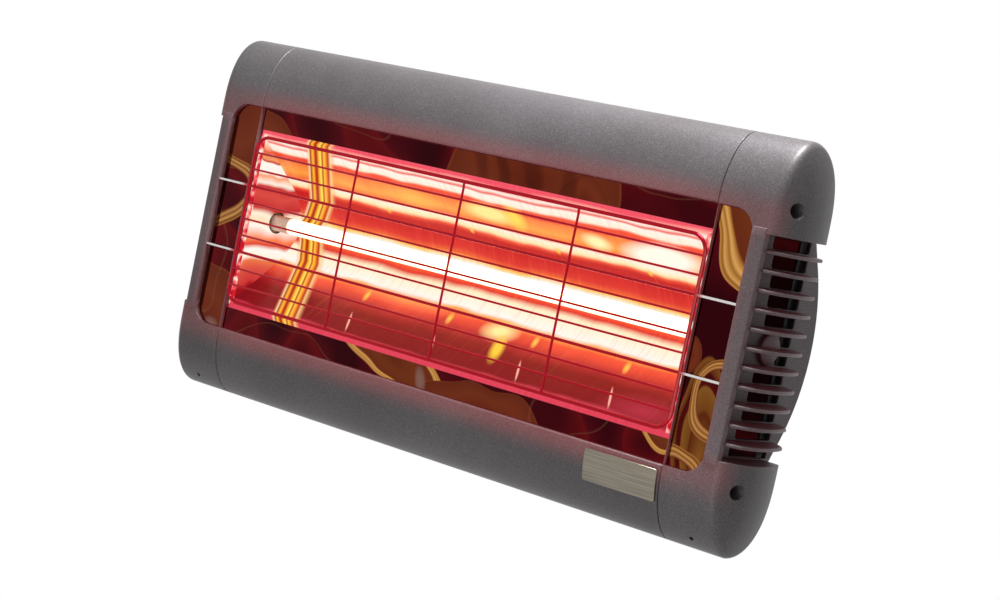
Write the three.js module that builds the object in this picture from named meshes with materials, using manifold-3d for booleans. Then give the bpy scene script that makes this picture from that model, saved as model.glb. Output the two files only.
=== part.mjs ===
// Wall-hung infrared quartz heater: an extruded body with two die-cast vented end caps,
// a polished reflector with a linear lamp behind a wire guard, and a tilting wall bracket.
// Millimetres. X runs along the body, the lamp faces -Y, +Z is up, and the wall is at y = 0.
// The heater itself is drawn in its own frame, where y = 0 is the plane of its front window.
import * as THREE from 'three';
import { mergeVertices } from 'three/addons/utils/BufferGeometryUtils.js';
import Module from 'manifold-3d';

const wasm = await Module();
wasm.setup();

// ---- Driving dimensions: body ------------------------------------------------------------
const windowHalf = 71;           // half height of the front window between the casings
const casingProud = 1.5;         // casing front ahead of the window plane
const frontBulge = 24;           // casing section: ellipse quarter towards the front
const rearBulge = 30;            // casing section: ellipse quarter towards the rear
const bulgeRise = 39.5;          // casing section: rise of both quarters
const bulgeShelf = 2;            // straight stretch between window edge and bulge
const casingWall = 2.2;          // wall of the extruded casings
const lipWidth = 9;              // inward lip along the window edge
const lipThickness = 1.6;
const castWall = 3;              // wall of the die-cast end caps
const crownFrontDrop = 8;        // how far an end cap falls back from its crown to the front
const crownRearDrop = 7.5;       // and from its crown to the rear
const crownDepth = 20;           // depth of the crown behind the window plane
const lobeBelowWindow = 10.6;    // low edge of an end cap's lobe below the window edge
const domeDrop = 6.5;            // how far a lobe's face leans in from its low edge to its top
const domePower = 3;
const lobeChamfer = 1.8;         // between a lobe's face and its bulge

// ---- Driving dimensions: vents of an end cap ---------------------------------------------
const finCount = 11;
const finThickness = 2;
const ventWallSetback = 19.5;    // crown to the outer face of the slotted vent wall
const slotMargin = 1.2;          // between a slot and a fin, both sides together
const endBayCut = 1.4;           // how much less than a full pitch lies past the outermost fins
const slotRearDepth = 56;
const slotFrontDepth = 20;       // front end of the outermost slots
const slotFrontShift = 8;        // how much later the middle slots start
const middleSlotDepth = 45;      // front end of the two slots beside the boss
const bossRadius = 9;
const bossProud = 2.5;
const barWidth = 8.9;            // raised upright bar beside the side mirrors
const barProud = 3.2;            // bar front ahead of the window plane
const barLean = 1.2;             // outer edge of its face behind the inner edge
const barSide = 3.5;             // depth of its outer side
const barSetback = 10.7;         // crown to the outer edge of the bar
const barOverlap = 3.1;          // bar ends over the lobes
const barSlope = 5.5;            // height of its sloping ends
const barEndDrop = 1.2;          // how far they fall back
const finTipDepth = 1.6;         // front end of the fins behind the window plane

// ---- Driving dimensions: rear cover ------------------------------------------------------
const coverDepth = 86;           // rearmost line behind the window plane
const coverSide = 6;             // straight rise of the tray's upper and lower sides
const coverPastWindow = 5;       // edge of the raised tray past the window edge
const coverFlange = 10;          // flat flange outside the tray
const coverWall = 2;
const coverRoom = 1;             // vent wall to the end wall of the cover
const coverCorner = 8;
const ventWallDepth = 79;        // rear edge of the vent wall at mid height
const ventWallArc = 104;

// ---- Driving dimensions: mirrors, reflector, lamp, guard ---------------------------------
const mirrorHeight = 14;         // top and bottom mirror strips
const mirrorThickness = 0.8;
const mirrorDepth = 1;           // strip faces behind the window plane
const sideMirrorDepth = 1;       // side mirror faces behind it
const mirrorCorner = 13;
const sheetThickness = 0.8;      // reflector sheet
const reflectorDepth = 51;       // back of the trough
const reflectorWaistDepth = 42;  // where the flanks meet the back panels
const reflectorWaistHalf = 20;
const reflectorBackHalf = 8;
const lampDepth = 30;            // lamp axis behind the window plane
const tubeLength = 326;
const tubeRadius = 5;
const tubeWall = 1;
const filamentRadius = 1.1;
const filamentRings = 7;
const lampCapLength = 18.5;
const lampCapHeight = 10;
const lampCapDepth = 8;
const lampGrip = 1.8;            // how far a ceramic end sits in its holder
const lampContactLength = 1.8;
const lampContactRadius = 2.2;
const lampTravel = 2.5;          // end play against the sprung contact
const guardFrameWire = 2.2;      // wire diameters
const guardLongWire = 1.8;
const guardWire = 1.4;
const guardUprightWire = 1.6;
const guardRows = 9;
const guardUprights = 3;
const guardEndBay = 89.5;        // end of the guard's frame to the first upright
const guardProud = 1.6;          // wires in front of the window plane
const guardCorner = 10;

// ---- Driving dimensions: fasteners, badge, wiring, bracket --------------------------------
const capScrewDepth = 9.2;
const capScrewOffset = 4.1;      // above the window edge
const capScrewHole = 4;          // radius of the deep hole
const capScrewRadius = 1.7;
const capScrewHeadRadius = 3.2;
const capScrewHeadHeight = 2.6;
const capScrewLength = 18;
const capScrewSocket = 1.4;      // radius of the hexagon in its head
const capScrewSeat = 5;          // seam to the bottom of the deep hole
const capBossWall = 1.6;         // wall round the deep hole
const screwPortWall = 2.4;       // wall of the screw port inside a casing
const capFrameDepth = 2.4;       // rim that carries a side mirror
const drainRadius = 1.4;
const drainFromSeam = 21;
const badgeLength = 50;
const badgeHeight = 18;
const badgeThickness = 0.9;
const badgeFromSeam = 1.6;
const badgeDrop = 3;             // below the window edge
const badgeCorner = 1.6;
const coverScrewFromSeam = 28;
const coverScrewRadius = 1.7;
const coverScrewHead = 3.4;
const coverScrewLength = 9;
const holderLength = 18;
const holderDepth = 16;
const holderHeight = 18;
const holderWall = 2;            // closed end behind the contact
const holderClearance = 0.5;     // round the flat end of the lamp
const holderRoom = 2.5;          // behind the holder, to the vent wall
const holderStep = 2;            // holder past the seam, for its bracket and the end sheet
const lampHoleRoom = 0.6;        // hole in end sheet and bracket past the lamp's corners
const holderBracketHeight = 28;
const holderBracketFoot = 14;    // flange along the body
const holderBracketFootSteel = 1.2;
const holderBracketBehind = 6;   // past the holder
const contactLength = 4;
const springTurns = 4;
const springWire = 0.3;          // radius
const springCoil = 1.9;          // mean radius
const terminalLength = 40;
const terminalFromCentre = 60;
const terminalRoom = 4.2;        // reflector to terminal block
const terminalHalf = 8;          // half depth of the block
const terminalHeight = 18;
const terminalWell = 2.6;        // radius of a screw well
const terminalWellPitch = 12.5;
const terminalWellDepth = 5;
const terminalPostRadius = 3.5;
const terminalPostPitch = 24;
const wireRadius = 1.5;
const wireBend = 10;
const glandFromSeam = 58;
const glandRadius = 8;
const glandBore = 4;             // radius
const glandHexRim = 3.2;         // hexagon past the thread
const glandHexHeight = 5;
const glandDomeRim = 2.2;
const glandHeight = 15;          // outside the cover
const glandThread = 8;           // inside the cover
const glandNutRim = 3.5;
const glandNutHeight = 4.2;
const glandNutRoom = 0.9;        // below the wall of the arched cover
const pivotBehindCover = 14;     // tilt axis behind the cover
const pivotToWall = 46;
const bracketWidth = 120;        // outside the two arms
const bracketHeight = 50;
const bracketSteel = 2.5;
const pivotBoltRadius = 3;
const pivotHeadRadius = 6.5;
const pivotHeadHeight = 5;
const pivotNutRadius = 6;
const pivotNutHeight = 5;
const pivotBoltPastEar = 10;
const armEndRadius = 10;
const strapHeight = 28;
const strapScrewSpacing = 60;
const strapScrewRadius = 2.2;
const strapScrewHead = 4.2;
const strapScrewLength = 7;
const armRoot = 8;               // straight stretch of a bracket arm next to its plate
const wallSlotSpacing = 70;
const wallSlotLength = 14;
const wallSlotRadius = 3.2;

// ---- Clearances --------------------------------------------------------------------------
const gap = 0.3;                 // between touching pieces
const seamGap = 0.4;             // visible seams
const runningGap = 0.35;         // round a screw, pin or wire

// ---- Values that follow ------------------------------------------------------------------
const tubeX = tubeLength / 2;
const lampCapX = tubeX + gap;
const lampEndX = lampCapX + lampCapLength;
const lampTipX = lampEndX + gap + lampContactLength;
const holderX = lampEndX - lampGrip;
const holderPocketX = lampEndX + lampTravel + holderClearance;
const holderBackX = holderX + holderLength;
const seamX = holderX - holderStep;
const ventWallX = holderBackX + holderRoom + castWall;
const crownX = ventWallX + ventWallSetback;
const lampHole = Math.hypot(lampCapDepth, lampCapHeight) / 2 + lampHoleRoom;
const bulgeDepth = frontBulge - casingProud;
const bulgeCentreZ = windowHalf + bulgeShelf;
const casingFrontY = bulgeDepth - frontBulge;
const casingRearY = bulgeDepth + rearBulge;
const lobeEdgeZ = windowHalf - lobeBelowWindow;
const lobeRise = bulgeCentreZ + bulgeRise - lobeEdgeZ;
const finPitch = 2 * (lobeEdgeZ + endBayCut) / (finCount + 1);
const slotHeight = finPitch - finThickness - slotMargin;
const barOuterX = crownX - barSetback;
const barInnerX = barOuterX - barWidth;
const mirrorInnerZ = windowHalf - mirrorHeight;
const mouthHalf = mirrorInnerZ - 2;
const mirrorBackY = mirrorDepth + mirrorThickness;
const reflectorFrontY = mirrorBackY + gap;
const sideMirrorBackY = sideMirrorDepth + mirrorThickness;
const pocketY = sideMirrorBackY + gap;
const frameBackY = pocketY + capFrameDepth;
const coverX = ventWallX - castWall - coverRoom;
const coverFrontY = casingRearY + gap;
const coverHalf = windowHalf + coverPastWindow;
const capInnerX = seamX + seamGap / 2;
const endSheetX = capInnerX - gap - sheetThickness;
const capScrewZ = windowHalf + capScrewOffset;
const guardY = -guardProud;
const guardFrameX = seamX - 1.5;
const guardFrameZ = mouthHalf - 2.3;
const guardPitch = 2 * guardFrameZ / (guardRows + 1);
const guardLongEndX = barInnerX + 1.5;
const guardUprightPitch = 2 * (guardFrameX - guardEndBay) / (guardUprights - 1);
const coverScrewX = seamX - coverScrewFromSeam;
const terminalDepth = reflectorDepth + sheetThickness + terminalRoom + terminalHalf;
const glandX = seamX - glandFromSeam;
const pivotDepth = coverDepth + pivotBehindCover;

// ---- Finishes ----------------------------------------------------------------------------
const finish = (hex, roughness, metalness) =>
  new THREE.MeshStandardMaterial({ color: hex, roughness, metalness });
const castPaint = finish(0x6b6163, 0.5, 0.35);
const mirrorSteel = finish(0x4a1c14, 0.12, 1);
const polished = finish(0xd8d2c8, 0.15, 1);
const brightWire = finish(0xc9c6c2, 0.25, 1);
const zincSteel = finish(0xa9aaa8, 0.4, 0.9);
const blackSteel = finish(0x2c2c2e, 0.5, 0.6);
const ceramic = finish(0xe9e2d4, 0.7, 0);
const quartz = finish(0xf0642e, 0.05, 0);
const glowing = finish(0xffb060, 0.6, 0);
const brass = finish(0xb08d4a, 0.35, 1);
const moulded = finish(0x202124, 0.55, 0);
const badgeMetal = finish(0x7a7468, 0.35, 0.8);
const siliconeRubber = finish(0xb5523a, 0.6, 0);

// ---- Geometry helpers --------------------------------------------------------------------
function solid(geometry) {
  const bare = geometry.clone();
  bare.deleteAttribute('normal');
  bare.deleteAttribute('uv');
  const merged = mergeVertices(bare, 1e-4);
  return new wasm.Manifold(new wasm.Mesh({
    numProp: 3,
    vertProperties: new Float32Array(merged.attributes.position.array),
    triVerts: new Uint32Array(merged.index.array),
  }));
}

// A solid from its corner points and its triangles.
function solidOf(points, triangles) {
  return new wasm.Manifold(new wasm.Mesh({
    numProp: 3,
    vertProperties: new Float32Array(points.flat()),
    triVerts: new Uint32Array(triangles.flat()),
  }));
}

function geometryOf(manifold) {
  const mesh = manifold.getMesh();
  const geometry = new THREE.BufferGeometry();
  geometry.setAttribute('position', new THREE.BufferAttribute(mesh.vertProperties, 3));
  geometry.setIndex(new THREE.BufferAttribute(mesh.triVerts, 1));
  geometry.computeVertexNormals();
  return geometry;
}

const shapeOf = (points) => new THREE.Shape(points.map(([a, b]) => new THREE.Vector2(a, b)));

function extrude(points, length) {
  return new THREE.ExtrudeGeometry(shapeOf(points), { depth: length, bevelEnabled: false });
}

// An outline of (y, z) points pushed along X, of (x, y) points along Z, of (x, z) points along Y.
function prismX(points, from, to) {
  const turn = new THREE.Matrix4().makeBasis(
    new THREE.Vector3(0, 1, 0), new THREE.Vector3(0, 0, 1), new THREE.Vector3(1, 0, 0));
  return solid(extrude(points, to - from).applyMatrix4(turn).translate(from, 0, 0));
}
function prismZ(points, from, to) {
  return solid(extrude(points, to - from).translate(0, 0, from));
}
function prismY(points, from, to) {
  return solid(extrude(points, to - from).rotateX(Math.PI / 2).translate(0, to, 0));
}

function block(x0, x1, y0, y1, z0, z1) {
  const box = new THREE.BoxGeometry(x1 - x0, y1 - y0, z1 - z0);
  return solid(box.translate((x0 + x1) / 2, (y0 + y1) / 2, (z0 + z1) / 2));
}

// A round bar from one point to another.
function rod(start, end, radius, sides = 16, endRadius = radius) {
  const a = new THREE.Vector3(...start);
  const b = new THREE.Vector3(...end);
  const bar = new THREE.CylinderGeometry(endRadius, radius, a.distanceTo(b), sides);
  const along = b.clone().sub(a).normalize();
  const turn = new THREE.Quaternion().setFromUnitVectors(new THREE.Vector3(0, 1, 0), along);
  const middle = a.add(b).multiplyScalar(0.5);
  return solid(bar.applyQuaternion(turn).translate(middle.x, middle.y, middle.z));
}

function wireAlong(curve, radius, steps, sides = 8) {
  const section = Array.from({ length: sides }, (_, i) => {
    const angle = (i + 0.5) / sides * 2 * Math.PI;
    return [radius * Math.cos(angle), radius * Math.sin(angle)];
  });
  return solid(new THREE.ExtrudeGeometry(shapeOf(section), {
    steps, extrudePath: curve, bevelEnabled: false,
  }));
}

// A rectangle with its own radius at each corner, counter-clockwise from the lower left.
function roundedBox(a0, a1, b0, b1, radii, steps = 5) {
  const corners = [[a0, b0, 1, 1], [a1, b0, -1, 1], [a1, b1, -1, -1], [a0, b1, 1, -1]];
  return corners.flatMap(([a, b, sa, sb], corner) => {
    const radius = radii[corner];
    if (!radius) return [[a, b]];
    return Array.from({ length: steps + 1 }, (_, i) => {
      const angle = Math.PI + (corner + i / steps) * Math.PI / 2;
      return [a + sa * radius + radius * Math.cos(angle), b + sb * radius + radius * Math.sin(angle)];
    });
  });
}

const flipX = (manifold) => manifold.mirror([1, 0, 0]);
const flipZ = (manifold) => manifold.mirror([0, 0, 1]);
const bothEnds = (manifold) => manifold.add(flipX(manifold));
const aboveAndBelow = (manifold) => manifold.add(flipZ(manifold));

// ---- Sections of the body ----------------------------------------------------------------
// The bulged section of a casing as (y, z) points, from its front low end over the top to its rear.
function bulge(inset, frontLow, rearLow, steps = 12) {
  const arc = Array.from({ length: 2 * steps + 1 }, (_, i) => {
    const angle = Math.PI - i * Math.PI / 2 / steps;
    const reach = (i < steps ? frontBulge : rearBulge) - inset;
    return [bulgeDepth + reach * Math.cos(angle), bulgeCentreZ + (bulgeRise - inset) * Math.sin(angle)];
  });
  return [[casingFrontY + inset, frontLow], ...arc, [casingRearY - inset, rearLow]];
}

// X of the crowned outer face of an end cap at a depth y.
function crown(y) {
  const ahead = y < crownDepth;
  const reach = ahead ? crownDepth - casingFrontY : casingRearY - crownDepth;
  const drop = ahead ? crownFrontDrop : crownRearDrop;
  return crownX - drop * ((y - crownDepth) / reach) ** 2;
}

function arcDepth(radius, top, z) {
  return top - radius + Math.sqrt(radius ** 2 - z ** 2);
}

// A rearward arc as (y, z) points from -half to +half.
function rearArc(radius, top, half, steps) {
  return Array.from({ length: steps + 1 }, (_, i) => {
    const z = -half + 2 * half * i / steps;
    return [arcDepth(radius, top, z), z];
  });
}

// ---- Casings -----------------------------------------------------------------------------
function topCasing() {
  const outer = bulge(0, windowHalf, bulgeCentreZ);
  const inner = bulge(casingWall, windowHalf + lipThickness, bulgeCentreZ).reverse();
  const lip = [[casingFrontY + lipWidth, windowHalf + lipThickness], [casingFrontY + lipWidth, windowHalf]];
  const length = seamX - seamGap / 2;
  const port = rod([-length, capScrewDepth, capScrewZ], [length, capScrewDepth, capScrewZ],
    capScrewRadius + screwPortWall, 14);
  const portHole = rod([-length - 1, capScrewDepth, capScrewZ], [length + 1, capScrewDepth, capScrewZ],
    capScrewRadius + runningGap, 12);
  let casing = prismX([...outer, ...inner, ...lip], -length, length).add(port).subtract(portHole);
  for (const x of coverScrewPlaces()) casing = casing.subtract(coverScrewBore(x));
  return casing;
}

// ---- End caps ----------------------------------------------------------------------------
// X of a lobe's domed face at a depth and a height above the middle.
function lobeFace(y, z) {
  return crown(y) - domeDrop * (Math.max(0, z - lobeEdgeZ) / lobeRise) ** domePower;
}

// A body from innerX to a domed face: rings of its section shrink towards the middle of the face.
function lobe(inset, innerX) {
  const low = lobeEdgeZ + inset;
  const section = bulge(inset, low, low);
  const floorSteps = 10;
  const front = casingFrontY + inset;
  const rear = casingRearY - inset;
  for (let i = 1; i < floorSteps; i += 1) {
    section.push([rear + (front - rear) * i / floorSteps, low]);
  }
  const middle = [bulgeDepth, low + lobeRise / 4];
  const chamfer = inset ? 0 : lobeChamfer;
  const rings = [[1, chamfer], [0.95, 0], [0.7, 0], [0.45, 0], [0.2, 0]];
  const points = section.map(([y, z]) => [innerX, y, z]);
  for (const [share, drop] of rings) {
    for (const [y, z] of section) {
      const place = [middle[0] + share * (y - middle[0]), middle[1] + share * (z - middle[1])];
      points.push([lobeFace(...place) - inset - drop, ...place]);
    }
  }
  const count = section.length;
  const innerMiddle = points.push([innerX, ...middle]) - 1;
  const faceMiddle = points.push([lobeFace(...middle) - inset, ...middle]) - 1;
  const faces = [];
  for (let i = 0; i < count; i += 1) {
    const next = (i + 1) % count;
    faces.push([innerMiddle, i, next], [faceMiddle, rings.length * count + next, rings.length * count + i]);
    for (let ring = 0; ring < rings.length; ring += 1) {
      const here = ring * count;
      const on = here + count;
      faces.push([here + i, on + i, next + on], [here + i, next + on, here + next]);
    }
  }
  return solidOf(points, faces);
}

function finPlan() {
  const steps = 9;
  const tail = 6;
  const from = crownDepth - 10;
  const to = casingRearY - 3;
  const edge = Array.from({ length: steps + 1 }, (_, i) => {
    const y = from + (to - from) * i / steps;
    return [crown(y), y];
  });
  return [[barOuterX - 2, finTipDepth], [barOuterX + 2, finTipDepth], [crown(from) - 2.2, from - 5],
    ...edge, [crown(casingRearY) - 1.5, casingRearY + 0.6], [crown(casingRearY) - tail, casingRearY + 4.6],
    [ventWallX, casingRearY + 7.5], [ventWallX - 1, casingRearY + 7.5], [ventWallX - 1, frameBackY]];
}

// The bar and the web behind it as (x, y) points.
function barPlan() {
  const round = 0.8;
  const front = -barProud;
  const side = front + barLean;
  return [[barInnerX, front + round], [barInnerX + round, front], [barOuterX - round, side - 0.1],
    [barOuterX, side + round], [barOuterX, side + barSide], [barInnerX + castWall + 0.6, frameBackY + 0.4],
    [ventWallX, frameBackY + 2], [ventWallX - castWall, frameBackY + 2], [ventWallX - castWall, mirrorBackY],
    [barInnerX, mirrorBackY]];
}

function bar() {
  const end = lobeEdgeZ + barOverlap;
  const endY = barEndDrop - barProud;
  const outline = [[-barProud, barSlope - end], [-barProud, end - barSlope], [endY, end],
    [casingRearY, end], [casingRearY, -end], [endY, -end]].reverse();
  return prismZ(barPlan(), -end, end).intersect(prismX(outline, ventWallX - castWall, crownX));
}

function slotPlan(index) {
  const middle = (finCount + 1) / 2 - 0.5;
  const beside = Math.abs(index - middle) < 1;
  const share = 1 - (Math.abs(index - middle) / middle) ** 2;
  const front = beside ? middleSlotDepth : slotFrontDepth + slotFrontShift * share;
  const z = (middle - index) * finPitch;
  return roundedBox(front, slotRearDepth, z - slotHeight / 2, z + slotHeight / 2, [1.6, 1.6, 1.6, 1.6], 2);
}

// The depth and height on the lower bulge where a drain hole sits, and its outward direction.
function drainPlace() {
  const angle = Math.PI * 0.69;
  const y = bulgeDepth + frontBulge * Math.cos(angle);
  const z = -(bulgeCentreZ + bulgeRise * Math.sin(angle));
  const out = new THREE.Vector2(Math.cos(angle) / frontBulge, -Math.sin(angle) / bulgeRise).normalize();
  return { y, z, out };
}

function rightEndCap() {
  const innerX = capInnerX;
  const deep = crownX + 2;
  const frameHalf = windowHalf + castWall;
  const frameCorner = mirrorCorner + castWall;
  const frame = prismY(roundedBox(innerX, barInnerX + castWall, -frameHalf, frameHalf,
    [0, frameCorner, frameCorner, 0]), casingFrontY + 0.5, frameBackY);
  const sideOutline = [[mirrorBackY, -lobeEdgeZ], ...rearArc(ventWallArc, ventWallDepth, lobeEdgeZ, 16),
    [mirrorBackY, lobeEdgeZ]];
  const ventWall = prismX(sideOutline, ventWallX - castWall, ventWallX);
  let cap = aboveAndBelow(lobe(0, innerX)).add(frame).add(ventWall);
  cap = cap.subtract(aboveAndBelow(lobe(castWall, innerX - 5)));
  cap = cap.subtract(block(innerX - 5, ventWallX - castWall, frameBackY, casingRearY - castWall,
    -bulgeCentreZ, bulgeCentreZ));
  cap = cap.add(bar());
  for (let i = 0; i < finCount; i += 1) {
    const z = ((finCount - 1) / 2 - i) * finPitch;
    cap = cap.add(prismZ(finPlan(), z - finThickness / 2, z + finThickness / 2));
  }
  cap = cap.add(rod([ventWallX - 1, middleSlotDepth - bossRadius - 1, 0],
    [ventWallX + bossProud, middleSlotDepth - bossRadius - 1, 0], bossRadius, 20, bossRadius - 1));
  for (let i = 0; i <= finCount; i += 1) {
    cap = cap.subtract(prismX(slotPlan(i), ventWallX - castWall - 1, ventWallX + 1));
  }
  const pocket = roundedBox(innerX - 5, barInnerX, -windowHalf, windowHalf,
    [0, mirrorCorner, mirrorCorner, 0]);
  cap = cap.subtract(prismY(pocket, -barProud - 5, pocketY));
  const screwSeat = capScrewSeatX();
  for (const z of [-capScrewZ, capScrewZ]) {
    cap = cap.add(rod([innerX, capScrewDepth, z], [crown(capScrewDepth) - 1, capScrewDepth, z],
      capScrewHole + capBossWall, 18));
    cap = cap.subtract(rod([screwSeat, capScrewDepth, z], [deep, capScrewDepth, z], capScrewHole, 18));
    cap = cap.subtract(rod([innerX - 1, capScrewDepth, z], [screwSeat + 1, capScrewDepth, z],
      capScrewRadius + runningGap, 12));
  }
  const drain = drainPlace();
  const drainX = seamX + drainFromSeam;
  cap = cap.subtract(rod([drainX, drain.y - 6 * drain.out.x, drain.z - 6 * drain.out.y],
    [drainX, drain.y + 6 * drain.out.x, drain.z + 6 * drain.out.y], drainRadius, 10));
  for (const side of [-1, 1]) {
    const z = side * guardLongZ();
    cap = cap.subtract(rod([barInnerX - 2, guardY, z], [guardLongEndX + 1, guardY, z],
      guardLongWire / 2 + runningGap, 12));
  }
  return cap;
}

function capScrewSeatX() {
  return capInnerX + capScrewSeat;
}

function capScrew() {
  const seat = capScrewSeatX() + gap;
  const head = rod([seat, 0, 0], [seat + capScrewHeadHeight, 0, 0], capScrewHeadRadius, 16);
  const shank = rod([seat - capScrewLength, 0, 0], [seat + 0.5, 0, 0], capScrewRadius, 12);
  const socket = rod([seat + 1.2, 0, 0], [seat + capScrewHeadHeight + 1, 0, 0], capScrewSocket, 6);
  return head.add(shank).subtract(socket);
}

// ---- Rear cover --------------------------------------------------------------------------
function coverScrewPlaces() {
  return [-coverScrewX, 0, coverScrewX];
}

function coverScrewZ() {
  return coverHalf + coverFlange / 2;
}

function coverScrewBore(x) {
  const z = coverScrewZ();
  return rod([x, casingRearY - coverScrewLength - 3, z], [x, coverFrontY + coverWall + 1, z],
    coverScrewRadius + runningGap, 12);
}

function rearCover() {
  const flangeY = coverFrontY + coverWall;
  const edgeRound = 3;
  const sag = coverDepth - coverFrontY - coverSide - edgeRound;
  const arcRadius = (coverHalf ** 2 + sag ** 2) / (2 * sag);
  const tray = (inset) => {
    const half = coverHalf - inset;
    const arc = rearArc(arcRadius - inset, coverDepth - inset, half - edgeRound - 1, 18);
    const shoulder = arcDepth(arcRadius - inset, coverDepth - inset, half) - edgeRound;
    const outline = [[coverFrontY - (inset ? 1 : 0), -half], [shoulder, -half], ...arc,
      [shoulder, half], [coverFrontY - (inset ? 1 : 0), half]];
    const corner = coverCorner - inset;
    const plan = roundedBox(-coverX + inset, coverX - inset, coverFrontY - 2, coverDepth - inset,
      [0, 0, corner, corner], 4);
    return prismX(outline, -coverX, coverX).intersect(prismZ(plan, -coverHalf - 1, coverHalf + 1));
  };
  const flangeHalf = coverHalf + coverFlange;
  const flange = prismY(roundedBox(-coverX, coverX, -flangeHalf, flangeHalf, [6, 6, 6, 6], 3),
    coverFrontY, flangeY);
  let cover = tray(0).add(flange).subtract(tray(coverWall));
  for (const x of terminalPosts()) {
    const post = [x, terminalDepth + terminalHalf + gap, 0];
    cover = cover.add(rod(post, [x, coverDepth - 1, 0], terminalPostRadius, 12));
  }
  for (const x of coverScrewPlaces()) {
    cover = cover.subtract(coverScrewBore(x)).subtract(flipZ(coverScrewBore(x)));
  }
  cover = cover.subtract(rod([-glandX, coverDepth - 12, 0], [-glandX, coverDepth + 2, 0],
    glandRadius + gap, 20));
  for (const x of strapScrewPlaces()) {
    cover = cover.subtract(rod([x, coverDepth - 12, 0], [x, coverDepth + 2, 0],
      strapScrewRadius + runningGap, 12));
  }
  return cover;
}

function panScrew(length, radius, headRadius) {
  const head = rod([0, 0, 0], [0, 1, 0], headRadius, 16)
    .add(rod([0, 0.9, 0], [0, 2.2, 0], headRadius, 16, headRadius * 0.6));
  const slot = block(-headRadius, headRadius, 1.4, 3, -0.4, 0.4);
  return head.add(rod([0, -length, 0], [0, 0.5, 0], radius, 12)).subtract(slot);
}

// ---- Mirrors and reflector ---------------------------------------------------------------
function topMirror() {
  const length = seamX - seamGap / 2 - 0.1;
  return block(-length, length, mirrorDepth, mirrorBackY, mirrorInnerZ, windowHalf - gap);
}

function sideMirror() {
  const corner = mirrorCorner - gap;
  return prismY(roundedBox(capInnerX, barInnerX - gap, -windowHalf + gap, windowHalf - gap,
    [0, corner, corner, 0]), sideMirrorDepth, sideMirrorBackY);
}

// Half of the trough section as (y, z) points on its inner face, from the lip to the middle.
function troughHalf(offset) {
  return [[reflectorFrontY + offset, mouthHalf + offset * 0.6],
    [reflectorWaistDepth + offset * 0.6, reflectorWaistHalf + offset * 0.9],
    [reflectorDepth - 1.5 + offset, reflectorBackHalf + offset * 0.4], [reflectorDepth + offset, 0]];
}

function reflector() {
  const t = sheetThickness;
  const inner = troughHalf(0);
  const outer = troughHalf(t);
  const lipZ = windowHalf - gap - 1;
  const upper = [[reflectorFrontY, mouthHalf], [reflectorFrontY, lipZ], [reflectorFrontY + t, lipZ],
    [reflectorFrontY + t, mouthHalf + t]];
  const down = (points) => points.map(([y, z]) => [y, -z]);
  const outline = [...upper, ...outer.slice(1), ...down(outer.slice(1, -1)).reverse(),
    ...down(upper).reverse(), ...down(inner.slice(1, -1)), ...inner.slice(1).reverse()];
  return prismX(outline, -endSheetX + gap, endSheetX - gap);
}

function endSheet() {
  const t = sheetThickness;
  const half = troughHalf(t);
  const outline = [...half.map(([y, z]) => [y, -z]), ...half.slice(0, -1).reverse()];
  return prismX(outline, endSheetX, endSheetX + t)
    .subtract(rod([endSheetX - 2, lampDepth, 0], [endSheetX + 2, lampDepth, 0], lampHole, 20));
}

// ---- Guard -------------------------------------------------------------------------------
function guardLongZ() {
  return 2 * guardPitch;
}

function guard() {
  const frameY = mirrorDepth - 0.8 - guardFrameWire / 2;
  const corners = [guardCorner, guardCorner, guardCorner, guardCorner];
  const loop = roundedBox(-guardFrameX, guardFrameX, -guardFrameZ, guardFrameZ, corners, 4)
    .map(([x, z]) => [x, frameY, z]);
  const wires = bentWire([...loop, loop[0]], guardFrameWire / 2, 8);
  for (let i = 0; i < guardRows; i += 1) {
    const z = guardFrameZ - (i + 1) * guardPitch;
    const long = Math.abs(Math.abs(z) - guardLongZ()) < guardPitch / 4;
    if (long) wires.push(rod([-guardLongEndX, guardY, z], [guardLongEndX, guardY, z], guardLongWire / 2, 8));
    else wires.push(...rowWire(z, frameY));
  }
  for (let i = 0; i < guardUprights; i += 1) {
    wires.push(...uprightWire((i - (guardUprights - 1) / 2) * guardUprightPitch, frameY));
  }
  return wasm.Manifold.union(wires);
}

// Straight round bars along a path, each running a little into the next at a bend.
function bentWire(path, radius, sides) {
  return path.slice(1).map((point, i) => {
    const a = new THREE.Vector3(...path[i]);
    const b = new THREE.Vector3(...point);
    const past = b.clone().sub(a).setLength(radius * 0.5);
    return rod(a.sub(past).toArray(), b.add(past).toArray(), radius, sides);
  });
}

function rowWire(z, frameY) {
  const back = 4;
  const x = guardFrameX;
  return bentWire([[-x, frameY, z], [-x + back, guardY, z], [x - back, guardY, z], [x, frameY, z]],
    guardWire / 2, 6);
}

function uprightWire(x, frameY) {
  const back = 5;
  const y = guardY + (guardWire + guardUprightWire) / 2 - 0.4;
  return bentWire([[x, frameY, -guardFrameZ], [x, y, -guardFrameZ + back],
    [x, y, guardFrameZ - back], [x, frameY, guardFrameZ]], guardUprightWire / 2, 6);
}

// ---- Lamp and holders --------------------------------------------------------------------
function quartzTube() {
  return rod([-tubeX, lampDepth, 0], [tubeX, lampDepth, 0], tubeRadius, 20)
    .subtract(rod([-tubeX - 1, lampDepth, 0], [tubeX + 1, lampDepth, 0], tubeRadius - tubeWall, 20));
}

function filament() {
  let coil = rod([-tubeX, lampDepth, 0], [tubeX, lampDepth, 0], filamentRadius, 8);
  const reach = tubeRadius - tubeWall - gap;
  for (let i = 0; i < filamentRings; i += 1) {
    const x = (i - (filamentRings - 1) / 2) * tubeLength / (filamentRings + 0.4);
    coil = coil.add(rod([x - 0.3, lampDepth, 0], [x + 0.3, lampDepth, 0], reach, 10));
  }
  return coil;
}

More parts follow.
